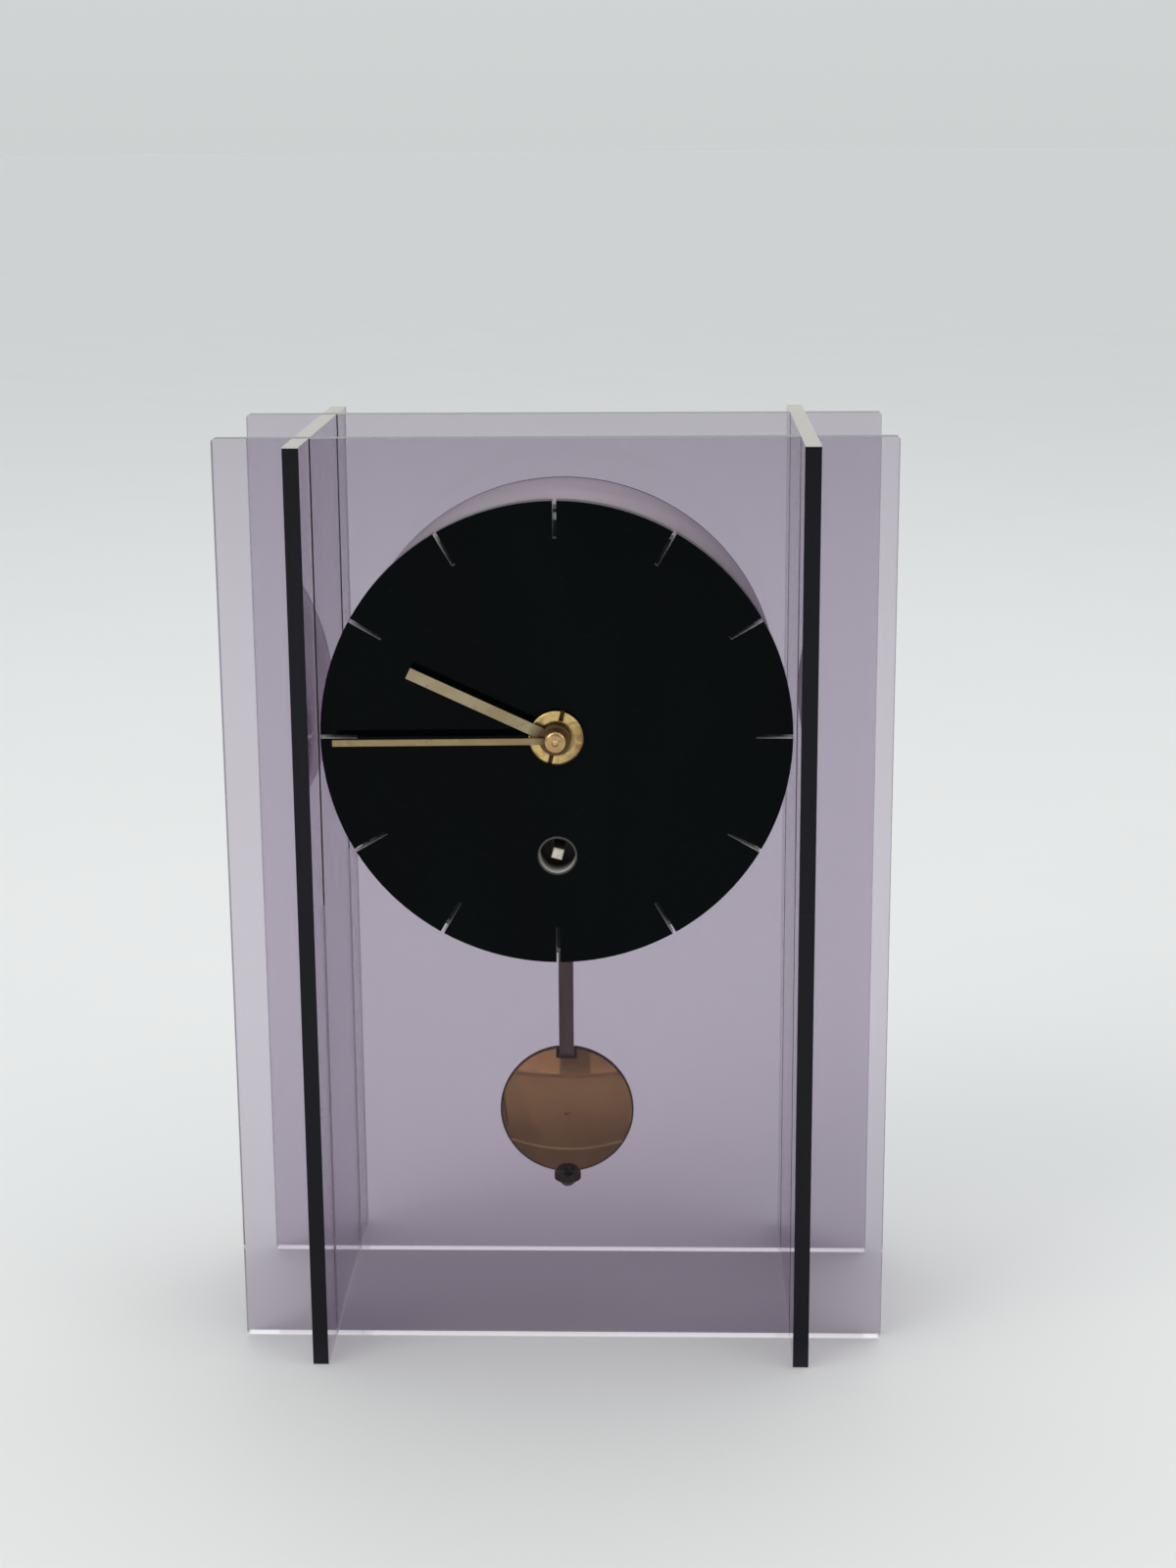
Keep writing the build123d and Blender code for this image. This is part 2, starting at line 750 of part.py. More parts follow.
def pillars():
    nut_back = back_plate_back + pillar_nut_height
    waist_front = front_plate_back + pillar_shoulder
    waist_back = back_plate_front - pillar_shoulder
    taper = pillar_radius - pillar_waist_radius
    pillar = turned([
        (0, front_plate_front), (pillar_thread_radius, front_plate_front),
        (pillar_thread_radius, front_plate_back), (pillar_radius, front_plate_back),
        (pillar_radius, waist_front), (pillar_waist_radius, waist_front + taper),
        (pillar_waist_radius, waist_back - taper), (pillar_radius, waist_back),
        (pillar_radius, back_plate_front), (pillar_thread_radius, back_plate_front),
        (pillar_thread_radius, nut_back + pillar_thread_spare), (0, nut_back + pillar_thread_spare)])
    return [at(place, pillar) for place in pillar_places()]


def pillar_nuts():
    outline = RegularPolygon(pillar_nut_across / 2, 6, major_radius=False)
    outline -= Circle(pillar_thread_radius + seat_clearance)
    nut = slab(outline, back_plate_back, back_plate_back + pillar_nut_height)
    return [at(place, nut) for place in pillar_places()]


def movement_posts():
    """Posts that hold the front plate behind the mounting disc."""
    body = tube(post_radius, screw_shank_radius + screw_fit, mount_disc_back, front_plate_front)
    spigot = post(pillar_thread_radius, front_plate_front, front_plate_back)
    return [at(place, body + spigot) for place in post_places()]


def mounting_screws():
    return [at(place, countersunk_screw()) for place in post_places()]


# Barrel and winding work
ratchet_front = back_plate_back + ratchet_air
ratchet_back = ratchet_front + ratchet_thickness
click_axis = (barrel_axis[0] + ratchet_radius + click_boss_radius, barrel_axis[1] + click_length)
click_spring_foot_place = (
    barrel_axis[0] + click_spring_foot_side, barrel_axis[1] + click_spring_foot_rise)


def barrel():
    inner = barrel_radius - barrel_wall
    turn = bearing(barrel_axis, intermediate_axis)
    wall = tube(barrel_radius, inner, barrel_front, great_wheel_front + great_wheel_thickness / 2)
    end = tube(barrel_radius, barrel_arbor_radius + running_clearance,
               barrel_front, barrel_front + barrel_wall)
    teeth = slab(wheel_outline(great_teeth, great_module, turn) - Circle(inner),
                 great_wheel_front, great_wheel_back)
    return at(barrel_axis, wall + end + teeth)


def barrel_cover():
    radius = barrel_radius - barrel_wall - seat_clearance
    bore = barrel_arbor_radius + running_clearance
    return at(barrel_axis, tube(radius, bore, great_wheel_back - barrel_cover_thickness, great_wheel_back))


def mainspring():
    """A flat strip coiled from the arbor out to the barrel's wall."""
    first = barrel_arbor_radius + mainspring_air + mainspring_strip
    last = barrel_radius - barrel_wall - mainspring_air - mainspring_strip
    count = mainspring_turns * mainspring_steps
    coil = [(first + (last - first) * step / count, step * 360 / mainspring_steps)
            for step in range(count + 1)]
    outside = [polar(radius + mainspring_strip / 2, angle) for radius, angle in coil]
    inside = [polar(radius - mainspring_strip / 2, angle) for radius, angle in reversed(coil)]
    outline = Polygon(*outside, *inside, align=None)
    return at(barrel_axis, slab(outline, barrel_front + barrel_wall + mainspring_air,
                                great_wheel_back - barrel_cover_thickness - mainspring_air))


def barrel_arbor():
    """The arbor that the key turns, squared at its front end and carrying the ratchet behind."""
    tip = dial_front + winding_square_recess
    shaft = turned([
        (0, front_plate_front), (barrel_pivot_radius, front_plate_front),
        (barrel_pivot_radius, arbor_front), (barrel_arbor_radius, arbor_front),
        (barrel_arbor_radius, arbor_back), (barrel_pivot_radius, arbor_back),
        (barrel_pivot_radius, ratchet_back + ratchet_air), (0, ratchet_back + ratchet_air)])
    square = Pos(0, tip, 0) * Rot(X=-90) * Box(
        winding_square, winding_square, front_plate_front - tip,
        align=(Align.CENTER, Align.CENTER, Align.MIN))
    square = chamfer(square.faces().sort_by(Axis.Y)[0].edges(), winding_square_bevel)
    return at(barrel_axis, shaft + Rot(Y=-ring_nut_angle) * square)


def ratchet_wheel():
    """Saw teeth whose steep sides face anticlockwise, seen from the front."""
    root = ratchet_radius - ratchet_tooth_depth
    step = 360 / ratchet_teeth
    points = []
    for number in range(ratchet_teeth):
        points += [polar(root, number * step), polar(ratchet_radius, (number + 1) * step)]
    outline = Polygon(*points, align=None) - Circle(barrel_pivot_radius + seat_clearance)
    return at(barrel_axis, slab(outline, ratchet_front, ratchet_back))


def click():
    """A pawl, drawn lifted off the teeth as when the key turns, that drops before a steep tooth."""
    heel = click_axis[1] - barrel_axis[1]
    side = click_axis[0] - barrel_axis[0]
    nose = [
        (ratchet_radius - click_engagement, click_clearance),
        (ratchet_radius + click_clearance, click_clearance),
        (side + click_boss_radius / 2, heel),
        (side - click_boss_radius / 2, heel),
        (ratchet_radius + click_clearance, click_nose + click_clearance)]
    outline = Polygon(*nose, align=None) + Pos(side, heel) * Circle(click_boss_radius)
    outline -= Pos(side, heel) * Circle(click_screw_radius + running_clearance)
    seated = Pos(-side, 0, -heel) * slab(outline, ratchet_front, ratchet_front + click_thickness)
    return at(click_axis, Rot(Y=-click_lift_angle) * seated)


def click_screw():
    head_y = ratchet_front + click_thickness + ratchet_air
    length = head_y - back_plate_front
    screw = slotted_screw(click_screw_radius, screw_head_radius, length, head_y, -1)
    return at(click_axis, screw)


def click_spring():
    """A strip from its screwed foot down to the click, which it presses towards the teeth."""
    foot_x, foot_z = click_spring_foot_place
    low, high = -click_spring_foot / 2, click_spring_foot / 2
    y_range = (back_plate_back, back_plate_back + click_thickness)
    foot = block((foot_x + low, foot_x + high), y_range, (foot_z + low, foot_z + high))
    tip = (barrel_axis[0] + click_spring_tip_side, barrel_axis[1] + click_spring_tip_rise)
    strip = Polygon(
        tip, (tip[0] + click_spring_strip, tip[1]), (foot_x + low + 2 * click_spring_strip, foot_z + low),
        (foot_x + low, foot_z), align=None)
    hole = post(screw_shank_radius + screw_fit, back_plate_front, y_range[1] + overrun)
    return foot + slab(strip, y_range[0] + ratchet_air, y_range[1]) - at(click_spring_foot_place, hole)


def click_spring_screw():
    head_y = back_plate_back + click_thickness
    length = head_y - back_plate_front
    return at(click_spring_foot_place,
              slotted_screw(screw_shank_radius, screw_head_radius, length, head_y, -1))


# Going train
def pinion_width():
    return wheel_thickness + 2 * pinion_spare


def intermediate_arbor():
    turn = bearing(intermediate_axis, barrel_axis)
    middle = (great_wheel_front + great_wheel_back) / 2
    length = great_wheel_thickness + pinion_spare
    pinion = pinion_outline(intermediate_leaves, great_module, turn)
    return at(intermediate_axis, train_arbor(intermediate_wheel_front, pinion, middle, length))


def intermediate_wheel():
    turn = bearing(intermediate_axis, centre_axis)
    return at(intermediate_axis, train_wheel(
        intermediate_teeth, intermediate_module, turn, intermediate_wheel_front, collet_radius))


def centre_arbor():
    """The minute arbor, from its back pivot to its end inside the cannon pinion's pipe."""
    tip = minute_hand_back + arbor_end_shake
    pivot_back = back_plate_back + pivot_spare
    shaft = turned([
        (0, tip), (centre_arbor_radius, tip), (centre_arbor_radius, arbor_back),
        (pivot_radius, arbor_back), (pivot_radius, pivot_back), (0, pivot_back)])
    seat_end = centre_wheel_front + wheel_thickness
    seat = turned([
        (0, centre_wheel_front), (collet_radius - seat_clearance, centre_wheel_front),
        (collet_radius - seat_clearance, seat_end), (hub_radius, seat_end),
        (hub_radius, seat_end + collet_height / 2), (0, seat_end + collet_height / 2)])
    turn = bearing(centre_axis, intermediate_axis)
    middle = intermediate_wheel_front + wheel_thickness / 2
    leaves = slab(pinion_outline(centre_leaves, intermediate_module, turn),
                  middle - pinion_width() / 2, middle + pinion_width() / 2)
    return at(centre_axis, shaft + seat + leaves)


def centre_wheel():
    turn = bearing(centre_axis, third_axis)
    return at(centre_axis, train_wheel(
        centre_teeth, centre_module, turn, centre_wheel_front, collet_radius))


def third_arbor():
    turn = bearing(third_axis, centre_axis)
    middle = centre_wheel_front + wheel_thickness / 2
    pinion = pinion_outline(third_leaves, centre_module, turn)
    return at(third_axis, train_arbor(third_wheel_front, pinion, middle, pinion_width()))


def third_wheel():
    turn = bearing(third_axis, escape_axis)
    return at(third_axis, train_wheel(third_teeth, third_module, turn, third_wheel_front, collet_radius))


def escape_arbor():
    turn = bearing(escape_axis, third_axis)
    middle = third_wheel_front + wheel_thickness / 2
    pinion = pinion_outline(escape_leaves, third_module, turn)
    return at(escape_axis, train_arbor(escape_wheel_front, pinion, middle, pinion_width()))


def escape_wheel():
    """Slender teeth that lean towards the turning direction, clockwise from the front."""
    root = escape_radius - escape_tooth_depth
    lead = degrees(escape_tooth_depth * tan(radians(escape_undercut_angle)) / root)
    trail = degrees(escape_tooth_depth * tan(radians(escape_back_angle)) / root)
    land = degrees(escape_tip_land / escape_radius)
    locked = 90 + half_span + degrees((pallet_width / 2 + pallet_drop) / escape_radius)
    points = []
    for number in range(escape_teeth):
        tip = locked + number * escape_pitch_angle
        points += [polar(root, tip + lead), polar(escape_radius, tip),
                   polar(escape_radius, tip + land), polar(root, tip + land + trail)]
    outline = crossed_out(Polygon(*points, align=None), root - rim_width, 90)
    outline -= Circle(collet_radius)
    return at(escape_axis, slab(outline, escape_wheel_front, escape_wheel_front + wheel_thickness))


# Escapement
def pallet(side, outer_depth, inner_depth):
    """A pallet on an arc about the anchor's axis, with its sloping end towards the wheel."""
    seat_angle = 270 + side * half_span
    base = seat_angle + side * degrees(pallet_length / anchor_reach)
    faces = []
    for radius, depth in ((anchor_reach + pallet_width / 2, outer_depth),
                          (anchor_reach - pallet_width / 2, inner_depth)):
        tip = seat_angle - side * degrees(depth / anchor_reach)
        faces.append([polar(radius, angle) for angle in (base, (base + tip) / 2, tip)])
    outer, inner = faces
    outline = ThreePointArc(*outer) + Line(outer[2], inner[2]) + ThreePointArc(*inner)
    outline += Line(outer[0], inner[0])
    return make_face(outline)


def pallet_anchor():
    """The two-armed anchor, drawn at mid swing, with both pallets just clear of the teeth."""
    shallow = -pallet_rest_gap - pallet_lift
    outline = Circle(anchor_hub_radius)
    outline += pallet(-1, shallow, -pallet_rest_gap)
    outline += pallet(1, -pallet_rest_gap, shallow)
    for side in (-1, 1):
        angle = 270 + side * (half_span + degrees(pallet_length * 3 / 4 / anchor_reach))
        outline += Rot(Z=angle) * Rectangle(
            anchor_reach + pallet_width / 2, anchor_arm_width, align=(Align.MIN, Align.CENTER))
    outline -= Circle(arbor_radius + seat_clearance)
    middle = escape_wheel_front + wheel_thickness / 2
    return at(anchor_axis, slab(outline, middle - anchor_thickness / 2, middle + anchor_thickness / 2))


cock_front = back_plate_back + cock_stand_off
cock_back = cock_front + cock_thickness
crutch_front = back_plate_back + (cock_stand_off - crutch_collet_length) / 2


def anchor_arbor():
    pivot_front = front_plate_front - pivot_spare
    shaft_back = cock_front - arbor_end_shake
    pivot_back = cock_back + pivot_spare
    return at(anchor_axis, turned([
        (0, pivot_front), (pivot_radius, pivot_front), (pivot_radius, arbor_front),
        (arbor_radius, arbor_front), (arbor_radius, shaft_back),
        (pivot_radius, shaft_back), (pivot_radius, pivot_back), (0, pivot_back)]))


def crutch():
    """A collet on the anchor's arbor, an arm, and a fork that embraces the pendulum rod."""
    collet = tube(crutch_collet_radius, arbor_radius + seat_clearance,
                  crutch_front, crutch_front + crutch_collet_length)
    arm_front = crutch_front + (crutch_collet_length - crutch_thickness) / 2
    arm_back = arm_front + crutch_thickness
    arm = block((-crutch_width / 2, crutch_width / 2), (arm_front, arm_back),
                (-crutch_length, -arbor_radius - seat_clearance))
    floor = -crutch_length
    bar_back = pendulum_plane - rod_thickness / 2 - fork_clearance * 3
    reach = block((-crutch_width / 2, crutch_width / 2), (arm_front, bar_back),
                  (floor, floor + fork_height))
    inner = rod_width / 2 + fork_clearance
    outer = inner + fork_prong
    fork = block((-outer, outer), (bar_back - fork_prong, pendulum_plane + fork_depth / 2),
                 (floor, floor + fork_height))
    fork -= block((-inner, inner), (bar_back, pendulum_plane + fork_depth),
                  (floor - overrun, floor + fork_height + overrun))
    clear_bore = post(arbor_radius + seat_clearance, crutch_front, crutch_front + crutch_collet_length)
    return at(anchor_axis, collet + (arm - clear_bore) + reach + fork)


# Back cock and suspension
chop_bottom = anchor_axis[1] + suspension_air
chop_top = chop_bottom + chop_height
lower_chop_top = anchor_axis[1] - suspension_length
hook_axis_height = lower_chop_top - chop_height / 2


def back_cock():
    """A bridge on two feet, with the anchor's back pivot and the arm that holds the pendulum."""
    low = anchor_axis[1] - cock_drop
    high = anchor_axis[1] + cock_rise
    bridge = block((-cock_half_width, cock_half_width), (cock_front, cock_back), (low, high))
    feet = [block((side * cock_half_width - (side + 1) / 2 * cock_foot_width,
                   side * cock_half_width - (side - 1) / 2 * cock_foot_width),
                  (back_plate_back, cock_front), (low, high)) for side in (-1, 1)]
    arm_back = pendulum_plane + cock_arm_tail
    arm_low = anchor_axis[1] + cock_arm_low - arbor_radius
    arm = block((-cock_arm_width / 2, cock_arm_width / 2), (cock_back, arm_back),
                (arm_low, arm_low + cock_arm_height))
    arm = chamfer(arm.edges().filter_by(Axis.Z).sort_by(Axis.Y)[-2:], plate_edge_chamfer)
    gap = chop_thickness / 2 + chop_clearance
    slot = block((-gap, gap), (pendulum_plane - chop_width / 2 - chop_clearance, arm_back + overrun),
                 (arm_low - overrun, chop_top + chop_clearance))
    cock = bridge + feet + arm - slot
    hole = post(pivot_radius + running_clearance, cock_front - overrun, cock_back + overrun)
    cock -= at(anchor_axis, hole)
    cock -= Pos(0, pendulum_plane, chop_top - chop_height / 4) * around_x(
        chop_pin_radius + seat_clearance, -cock_half_width, cock_half_width)
    hole = post(screw_shank_radius + screw_fit, back_plate_back - overrun, cock_back + overrun)
    return cock - [at(place, hole) for place in cock_screw_places()]


def cock_screws():
    length = cock_back - back_plate_front
    screw = slotted_screw(screw_shank_radius, screw_head_radius, length, cock_back, -1)
    return [at(place, screw) for place in cock_screw_places()]


def suspension_block():
    """The upper chop, held in the cock's arm by its pin."""
    chop = block((-chop_thickness / 2, chop_thickness / 2),
                 (pendulum_plane - chop_width / 2, pendulum_plane + chop_width / 2),
                 (chop_bottom, chop_top))
    return chop - Pos(0, pendulum_plane, chop_top - chop_height / 4) * around_x(
        chop_pin_radius + seat_clearance, -chop_width, chop_width)


def suspension_pin():
    return Pos(0, pendulum_plane, chop_top - chop_height / 4) * around_x(
        chop_pin_radius, -cock_arm_width / 2 - chop_pin_radius, cock_arm_width / 2 + chop_pin_radius)


def suspension_spring():
    """The thin strip that bends at the anchor's axis, with its lower chop."""
    strip = block((-suspension_strip / 2, suspension_strip / 2),
                  (pendulum_plane - suspension_strip_width / 2, pendulum_plane + suspension_strip_width / 2),
                  (lower_chop_top - chop_height / 2, anchor_axis[1]))
    chop = block((-chop_thickness / 2, chop_thickness / 2),
                 (pendulum_plane - chop_width / 2, pendulum_plane + chop_width / 2),
                 (lower_chop_top - chop_height, lower_chop_top))
    bore = Pos(0, pendulum_plane, hook_axis_height) * around_x(
        chop_pin_radius + seat_clearance, -chop_width, chop_width)
    return strip + chop - bore


def hook_pin():
    reach = chop_thickness / 2 + chop_clearance + hook_cheek + chop_pin_radius
    return Pos(0, pendulum_plane, hook_axis_height) * around_x(chop_pin_radius, -reach, reach)


# Pendulum
rod_top = lower_chop_top - chop_height - hook_clearance - hook_wall
bob_bottom = bob_height - bob_radius
rod_bottom = bob_bottom + bob_notch_depth + rating_travel
rating_screw_tip = bob_bottom - rating_screw_reach


def pendulum_hook():
    """Two open hooks over the pin, joined by a plate that grips the rod."""
    inner = chop_pin_radius + hook_clearance
    outer = inner + hook_wall
    side = chop_thickness / 2 + chop_clearance
    foot = rod_top - hook_plate_height
    profile = Pos(pendulum_plane, hook_axis_height) * Circle(outer)
    profile += Pos(pendulum_plane, foot) * Rectangle(
        rod_thickness + 2 * hook_wall, hook_axis_height - foot, align=(Align.CENTER, Align.MIN))
    profile -= Pos(pendulum_plane, hook_axis_height) * Circle(inner)
    profile -= Pos(pendulum_plane - inner, hook_axis_height) * Rectangle(
        2 * outer, outer + overrun, align=(Align.MIN, Align.MIN))
    hooks = slab_x(profile, -side - hook_cheek, side + hook_cheek)
    hooks -= block((-side, side), (pendulum_plane - chop_width, pendulum_plane + chop_width),
                   (rod_top + hook_wall, hook_axis_height + chop_height))
    return hooks - block((-rod_width, rod_width),
                         (pendulum_plane - rod_thickness / 2, pendulum_plane + rod_thickness / 2),
                         (foot - overrun, rod_top))


def pendulum_rod():
    return block((-rod_width / 2, rod_width / 2),
                 (pendulum_plane - rod_thickness / 2, pendulum_plane + rod_thickness / 2),
                 (rod_bottom, rod_top))


def rating_screw():
    """The pointed thread below the rod."""
    point_top = rating_screw_tip + rating_point_length
    radius = rating_screw_radius
    outline = Polyline((0, rating_screw_tip), (radius, point_top), (radius, rod_bottom), (0, rod_bottom),
                       close=True)
    return Pos(0, pendulum_plane, 0) * revolve(make_face(Plane.XZ * outline), Axis.Z)


def bob_half(direction):
    """One pressed shell of the lens-shaped bob, hollowed for the rod and the rating screw."""
    edge = direction * bob_edge / 2
    crown = edge + direction * bob_crown
    sphere = (bob_radius**2 + bob_crown**2) / (2 * bob_crown)
    middle = bob_radius / 2
    middle_y = crown - direction * (sphere - sqrt(sphere**2 - middle**2))
    outline = Polyline((0, crown), (0, 0), (bob_radius, 0), (bob_radius, edge))
    outline += ThreePointArc((bob_radius, edge), (middle, middle_y), (0, crown))
    shell = Pos(0, pendulum_plane, bob_height) * revolve(make_face(outline), Axis.Y)
    gap = bob_slot_clearance
    top = bob_height + bob_radius + overrun
    shell -= block((-rod_width / 2 - gap, rod_width / 2 + gap),
                   (pendulum_plane - rod_thickness / 2 - gap, pendulum_plane + rod_thickness / 2 + gap),
                   (rod_bottom - rating_travel - gap, top))
    bore = around_z(rating_screw_radius + gap, bob_bottom - overrun, bob_height)
    return shell - Pos(0, pendulum_plane, 0) * bore


def bob_front():
    notch_floor = bob_height + bob_radius - bob_notch_depth
    return bob_half(-1) - block(
        (-bob_notch_width / 2, bob_notch_width / 2),
        (pendulum_plane - bob_crown - bob_edge, pendulum_plane + overrun),
        (notch_floor, bob_height + bob_radius + overrun))


def bob_back():
    return bob_half(1)


def rating_nut():
    """A knurled nut with a cone below, on which the bob rests."""
    top = bob_bottom - rating_nut_gap
    bottom = top - rating_nut_height
    step = 360 / rating_nut_knurls
    points = []
    for number in range(rating_nut_knurls):
        points += [polar(rating_nut_radius, number * step),
                   polar(rating_nut_radius - rating_nut_knurl_depth, (number + 1 / 2) * step)]
    body = Pos(0, 0, bottom) * extrude(Polygon(*points, align=None), amount=rating_nut_height)
    cone_top = rating_nut_radius - 2 * rating_nut_knurl_depth
    cone_bottom = rating_screw_radius * 3 / 2
    cone = Pos(0, 0, bottom - rating_nut_cone) * Cone(
        cone_bottom, cone_top, rating_nut_cone, align=(Align.CENTER, Align.CENTER, Align.MIN))
    bore = around_z(rating_screw_radius + running_clearance, rating_screw_tip - overrun, top + overrun)
    return Pos(0, pendulum_plane, 0) * (body + cone - bore)


nodes = {
    "front_panel": front_panel(),
    "rear_panel": rear_panel(),
    "left_side_panel": side_panel(-side_spacing / 2, True),
    "right_side_panel": side_panel(side_spacing / 2, False),
    "dial_disc": dial_disc(),
    "mounting_disc": mounting_disc(),
    "drum_case": drum_case(),
    "drum_screws": drum_screws(),
    "winding_sleeve": winding_sleeve(),
    "centre_sleeve": centre_sleeve(),
    "dial_ring_nut": dial_ring_nut(),
    "hour_hand": hour_hand(),
    "minute_hand": minute_hand(),
    "hand_nut": hand_nut(),
    "hour_wheel": hour_wheel(),
    "cannon_pinion": cannon_pinion(),
    "minute_wheel": minute_wheel(),
    "minute_wheel_stud": minute_wheel_stud(),
    "front_plate": front_plate(),
    "back_plate": back_plate(),
    "pillars": pillars(),
    "pillar_nuts": pillar_nuts(),
    "movement_posts": movement_posts(),
    "mounting_screws": mounting_screws(),
    "barrel": barrel(),
    "barrel_cover": barrel_cover(),
    "mainspring": mainspring(),
    "barrel_arbor": barrel_arbor(),
    "ratchet_wheel": ratchet_wheel(),
    "click": click(),
    "click_screw": click_screw(),
    "click_spring": click_spring(),
    "click_spring_screw": click_spring_screw(),
    "intermediate_arbor": intermediate_arbor(),
    "intermediate_wheel": intermediate_wheel(),
    "centre_arbor": centre_arbor(),
    "centre_wheel": centre_wheel(),
    "third_arbor": third_arbor(),
    "third_wheel": third_wheel(),
    "escape_arbor": escape_arbor(),
    "escape_wheel": escape_wheel(),
    "pallet_anchor": pallet_anchor(),
    "anchor_arbor": anchor_arbor(),
    "crutch": crutch(),
    "back_cock": back_cock(),
    "cock_screws": cock_screws(),
    "suspension_block": suspension_block(),
    "suspension_pin": suspension_pin(),
    "suspension_spring": suspension_spring(),
    "hook_pin": hook_pin(),
    "pendulum_hook": pendulum_hook(),
    "pendulum_rod": pendulum_rod(),
    "rating_screw": rating_screw(),
    "bob_front": bob_front(),
    "bob_back": bob_back(),
    "rating_nut": rating_nut(),
}

os.makedirs("parts", exist_ok=True)
for name, shape in nodes.items():
    solid = Compound(children=shape) if isinstance(shape, list) else shape
    export_step(solid, f"parts/{name}.step")
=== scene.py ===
"""Looks of the desk pendulum clock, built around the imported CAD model. Metres, +Z up, the dial faces -Y."""
import json
import math

import bpy
from mathutils import Matrix, Vector


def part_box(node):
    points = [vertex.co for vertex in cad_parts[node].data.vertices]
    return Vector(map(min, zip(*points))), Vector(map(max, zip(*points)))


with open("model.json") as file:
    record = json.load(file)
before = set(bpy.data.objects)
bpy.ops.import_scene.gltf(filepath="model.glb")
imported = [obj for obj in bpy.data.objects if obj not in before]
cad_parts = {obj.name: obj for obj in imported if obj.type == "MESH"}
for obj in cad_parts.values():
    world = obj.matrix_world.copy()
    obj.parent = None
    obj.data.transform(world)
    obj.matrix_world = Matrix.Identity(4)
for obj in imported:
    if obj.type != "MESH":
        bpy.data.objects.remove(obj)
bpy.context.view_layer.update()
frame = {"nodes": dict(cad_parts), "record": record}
nodes = frame["nodes"]

X, Y, Z = range(3)

# Camera, fitted to the photograph
CAMERA_PLACE = (0.03355, -0.83040, 0.38673)
CAMERA_YAW, CAMERA_PITCH, CAMERA_ROLL = 0.0302, -0.2448, 0.0068
LENS_MM, SENSOR_WIDTH_MM = 79.745, 36.0
NEAR_CLIP = 0.01

# Sky, level with the horizon, overhead, and on the side that the dial faces, with the spans of direction
# over which one goes into the other
SKY_LEVEL = (0.619, 0.640, 0.638)
SKY_TOP = (0.94, 0.96, 0.98)
SKY_BEFORE_DIAL = (0.38, 0.38, 0.375)
DIMMING = (-0.8, -0.2)
ABOVE_HORIZON = (0.10, 0.01)

# Floor
FLOOR_RADIUS = 60
FLOOR_CORNERS = 96
FLOOR_DROP = 0.0002

# Lamps: name, place, the point each looks at, width, height, watts, colour, and if it shows only in mirrors
LAMPS = (
    ("window_lamp", (-1.3, -1.1, 1.5), (0.0, 0.0, 0.15), 1.1, 1.3, 12.0, (1.0, 0.99, 0.97), False),
    ("room_lamp", (1.6, -0.9, 1.3), (0.0, 0.0, 0.15), 1.2, 1.2, 3.5, (1.0, 0.97, 0.93), False),
    ("top_lamp", (0.2, 0.9, 1.9), (0.0, 0.0, 0.1), 1.4, 1.4, 5.0, (0.97, 0.98, 1.0), False),
    ("left_pane_lamp", (-0.86, -2.5, 0.46), (0.0, 0.0, 0.07), 1.25, 0.74, 2.4, (1.0, 0.97, 0.90), True),
    ("right_pane_lamp", (0.84, -2.5, 0.44), (0.0, 0.0, 0.07), 0.7, 0.7, 0.7, (1.0, 0.93, 0.84), True),
)

# Acrylic sheets
ACRYLIC_IOR = 1.49
SHEET_TINT, SHEET_DENSITY = (0.37, 0.25, 0.43), 110.0
SLOT_FROM_MIDDLE_ACROSS, SLOT_FROM_MIDDLE_ALONG = 0.0775, 0.035
SLOT_REACH = 0.004
EDGE_REACH = 0.0005
# Strength of the painted glow at the sheets' lower edges
GLOW_ACROSS, GLOW_ALONG = 0.42, 0.14

# Dark lines and bands on the pieces, each as far as it reaches, in metres
DIAL_RIM = (0.0003, 0.0001)
# The dial's slot walls are painted light over this span in from the rim
DIAL_SLOT_LIGHT_FADE = (0.009, 0.001)
DRUM_END_LINE = 0.0022
BOB_RIM = (0.0007, 0.0004)
# The bob's notch at its top is painted shade over this half width and depth
BOB_NOTCH_HALF, BOB_NOTCH_DEPTH = 0.0035, (0.0040, 0.0037)
# The sleeve's bore is painted shade over this span in from its front
SLEEVE_SHADE_FADE = (0.001, 0.009)
SQUARE_END = (0.0001, 0.0006)
# The ring nut's slots and sides are painted shade over this span behind its front face
RING_SLOT_SHADE = (0.0006, 0.0012)
HOUR_HUB, MINUTE_HUB, HUB_FADE = 0.0052, 0.0030, 0.004

# Share of a surface direction along an axis from which the surface counts as facing that way
FACING, LEVEL, WALL, FRONT = 0.7, 0.6, 0.5, -0.6


# Camera and stage

def add_camera():
    """The photograph's viewing angle, for a picture of 1200 by 1600."""
    turn = Matrix.Rotation(CAMERA_YAW, 3, "Z") @ Matrix.Rotation(CAMERA_PITCH, 3, "X")
    turn = turn @ Matrix.Rotation(CAMERA_ROLL, 3, "Y")
    axes = Matrix((turn.col[0], turn.col[2], -turn.col[1])).transposed()
    data = bpy.data.cameras.new("camera")
    data.sensor_fit = "HORIZONTAL"
    data.sensor_width = SENSOR_WIDTH_MM
    data.lens = LENS_MM
    data.clip_start = NEAR_CLIP
    camera = bpy.data.objects.new("camera", data)
    camera.matrix_world = Matrix.Translation(CAMERA_PLACE) @ axes.to_4x4()
    bpy.context.scene.collection.objects.link(camera)
    bpy.context.scene.camera = camera
    bpy.context.scene.view_settings.view_transform = "Standard"


def mesh_object(name, points, faces):
    """A new object from its corner points and faces."""
    mesh = bpy.data.meshes.new(name)
    mesh.from_pydata(points, [], faces)
    mesh.update()
    made = bpy.data.objects.new(name, mesh)
    bpy.context.scene.collection.objects.link(made)
    return made


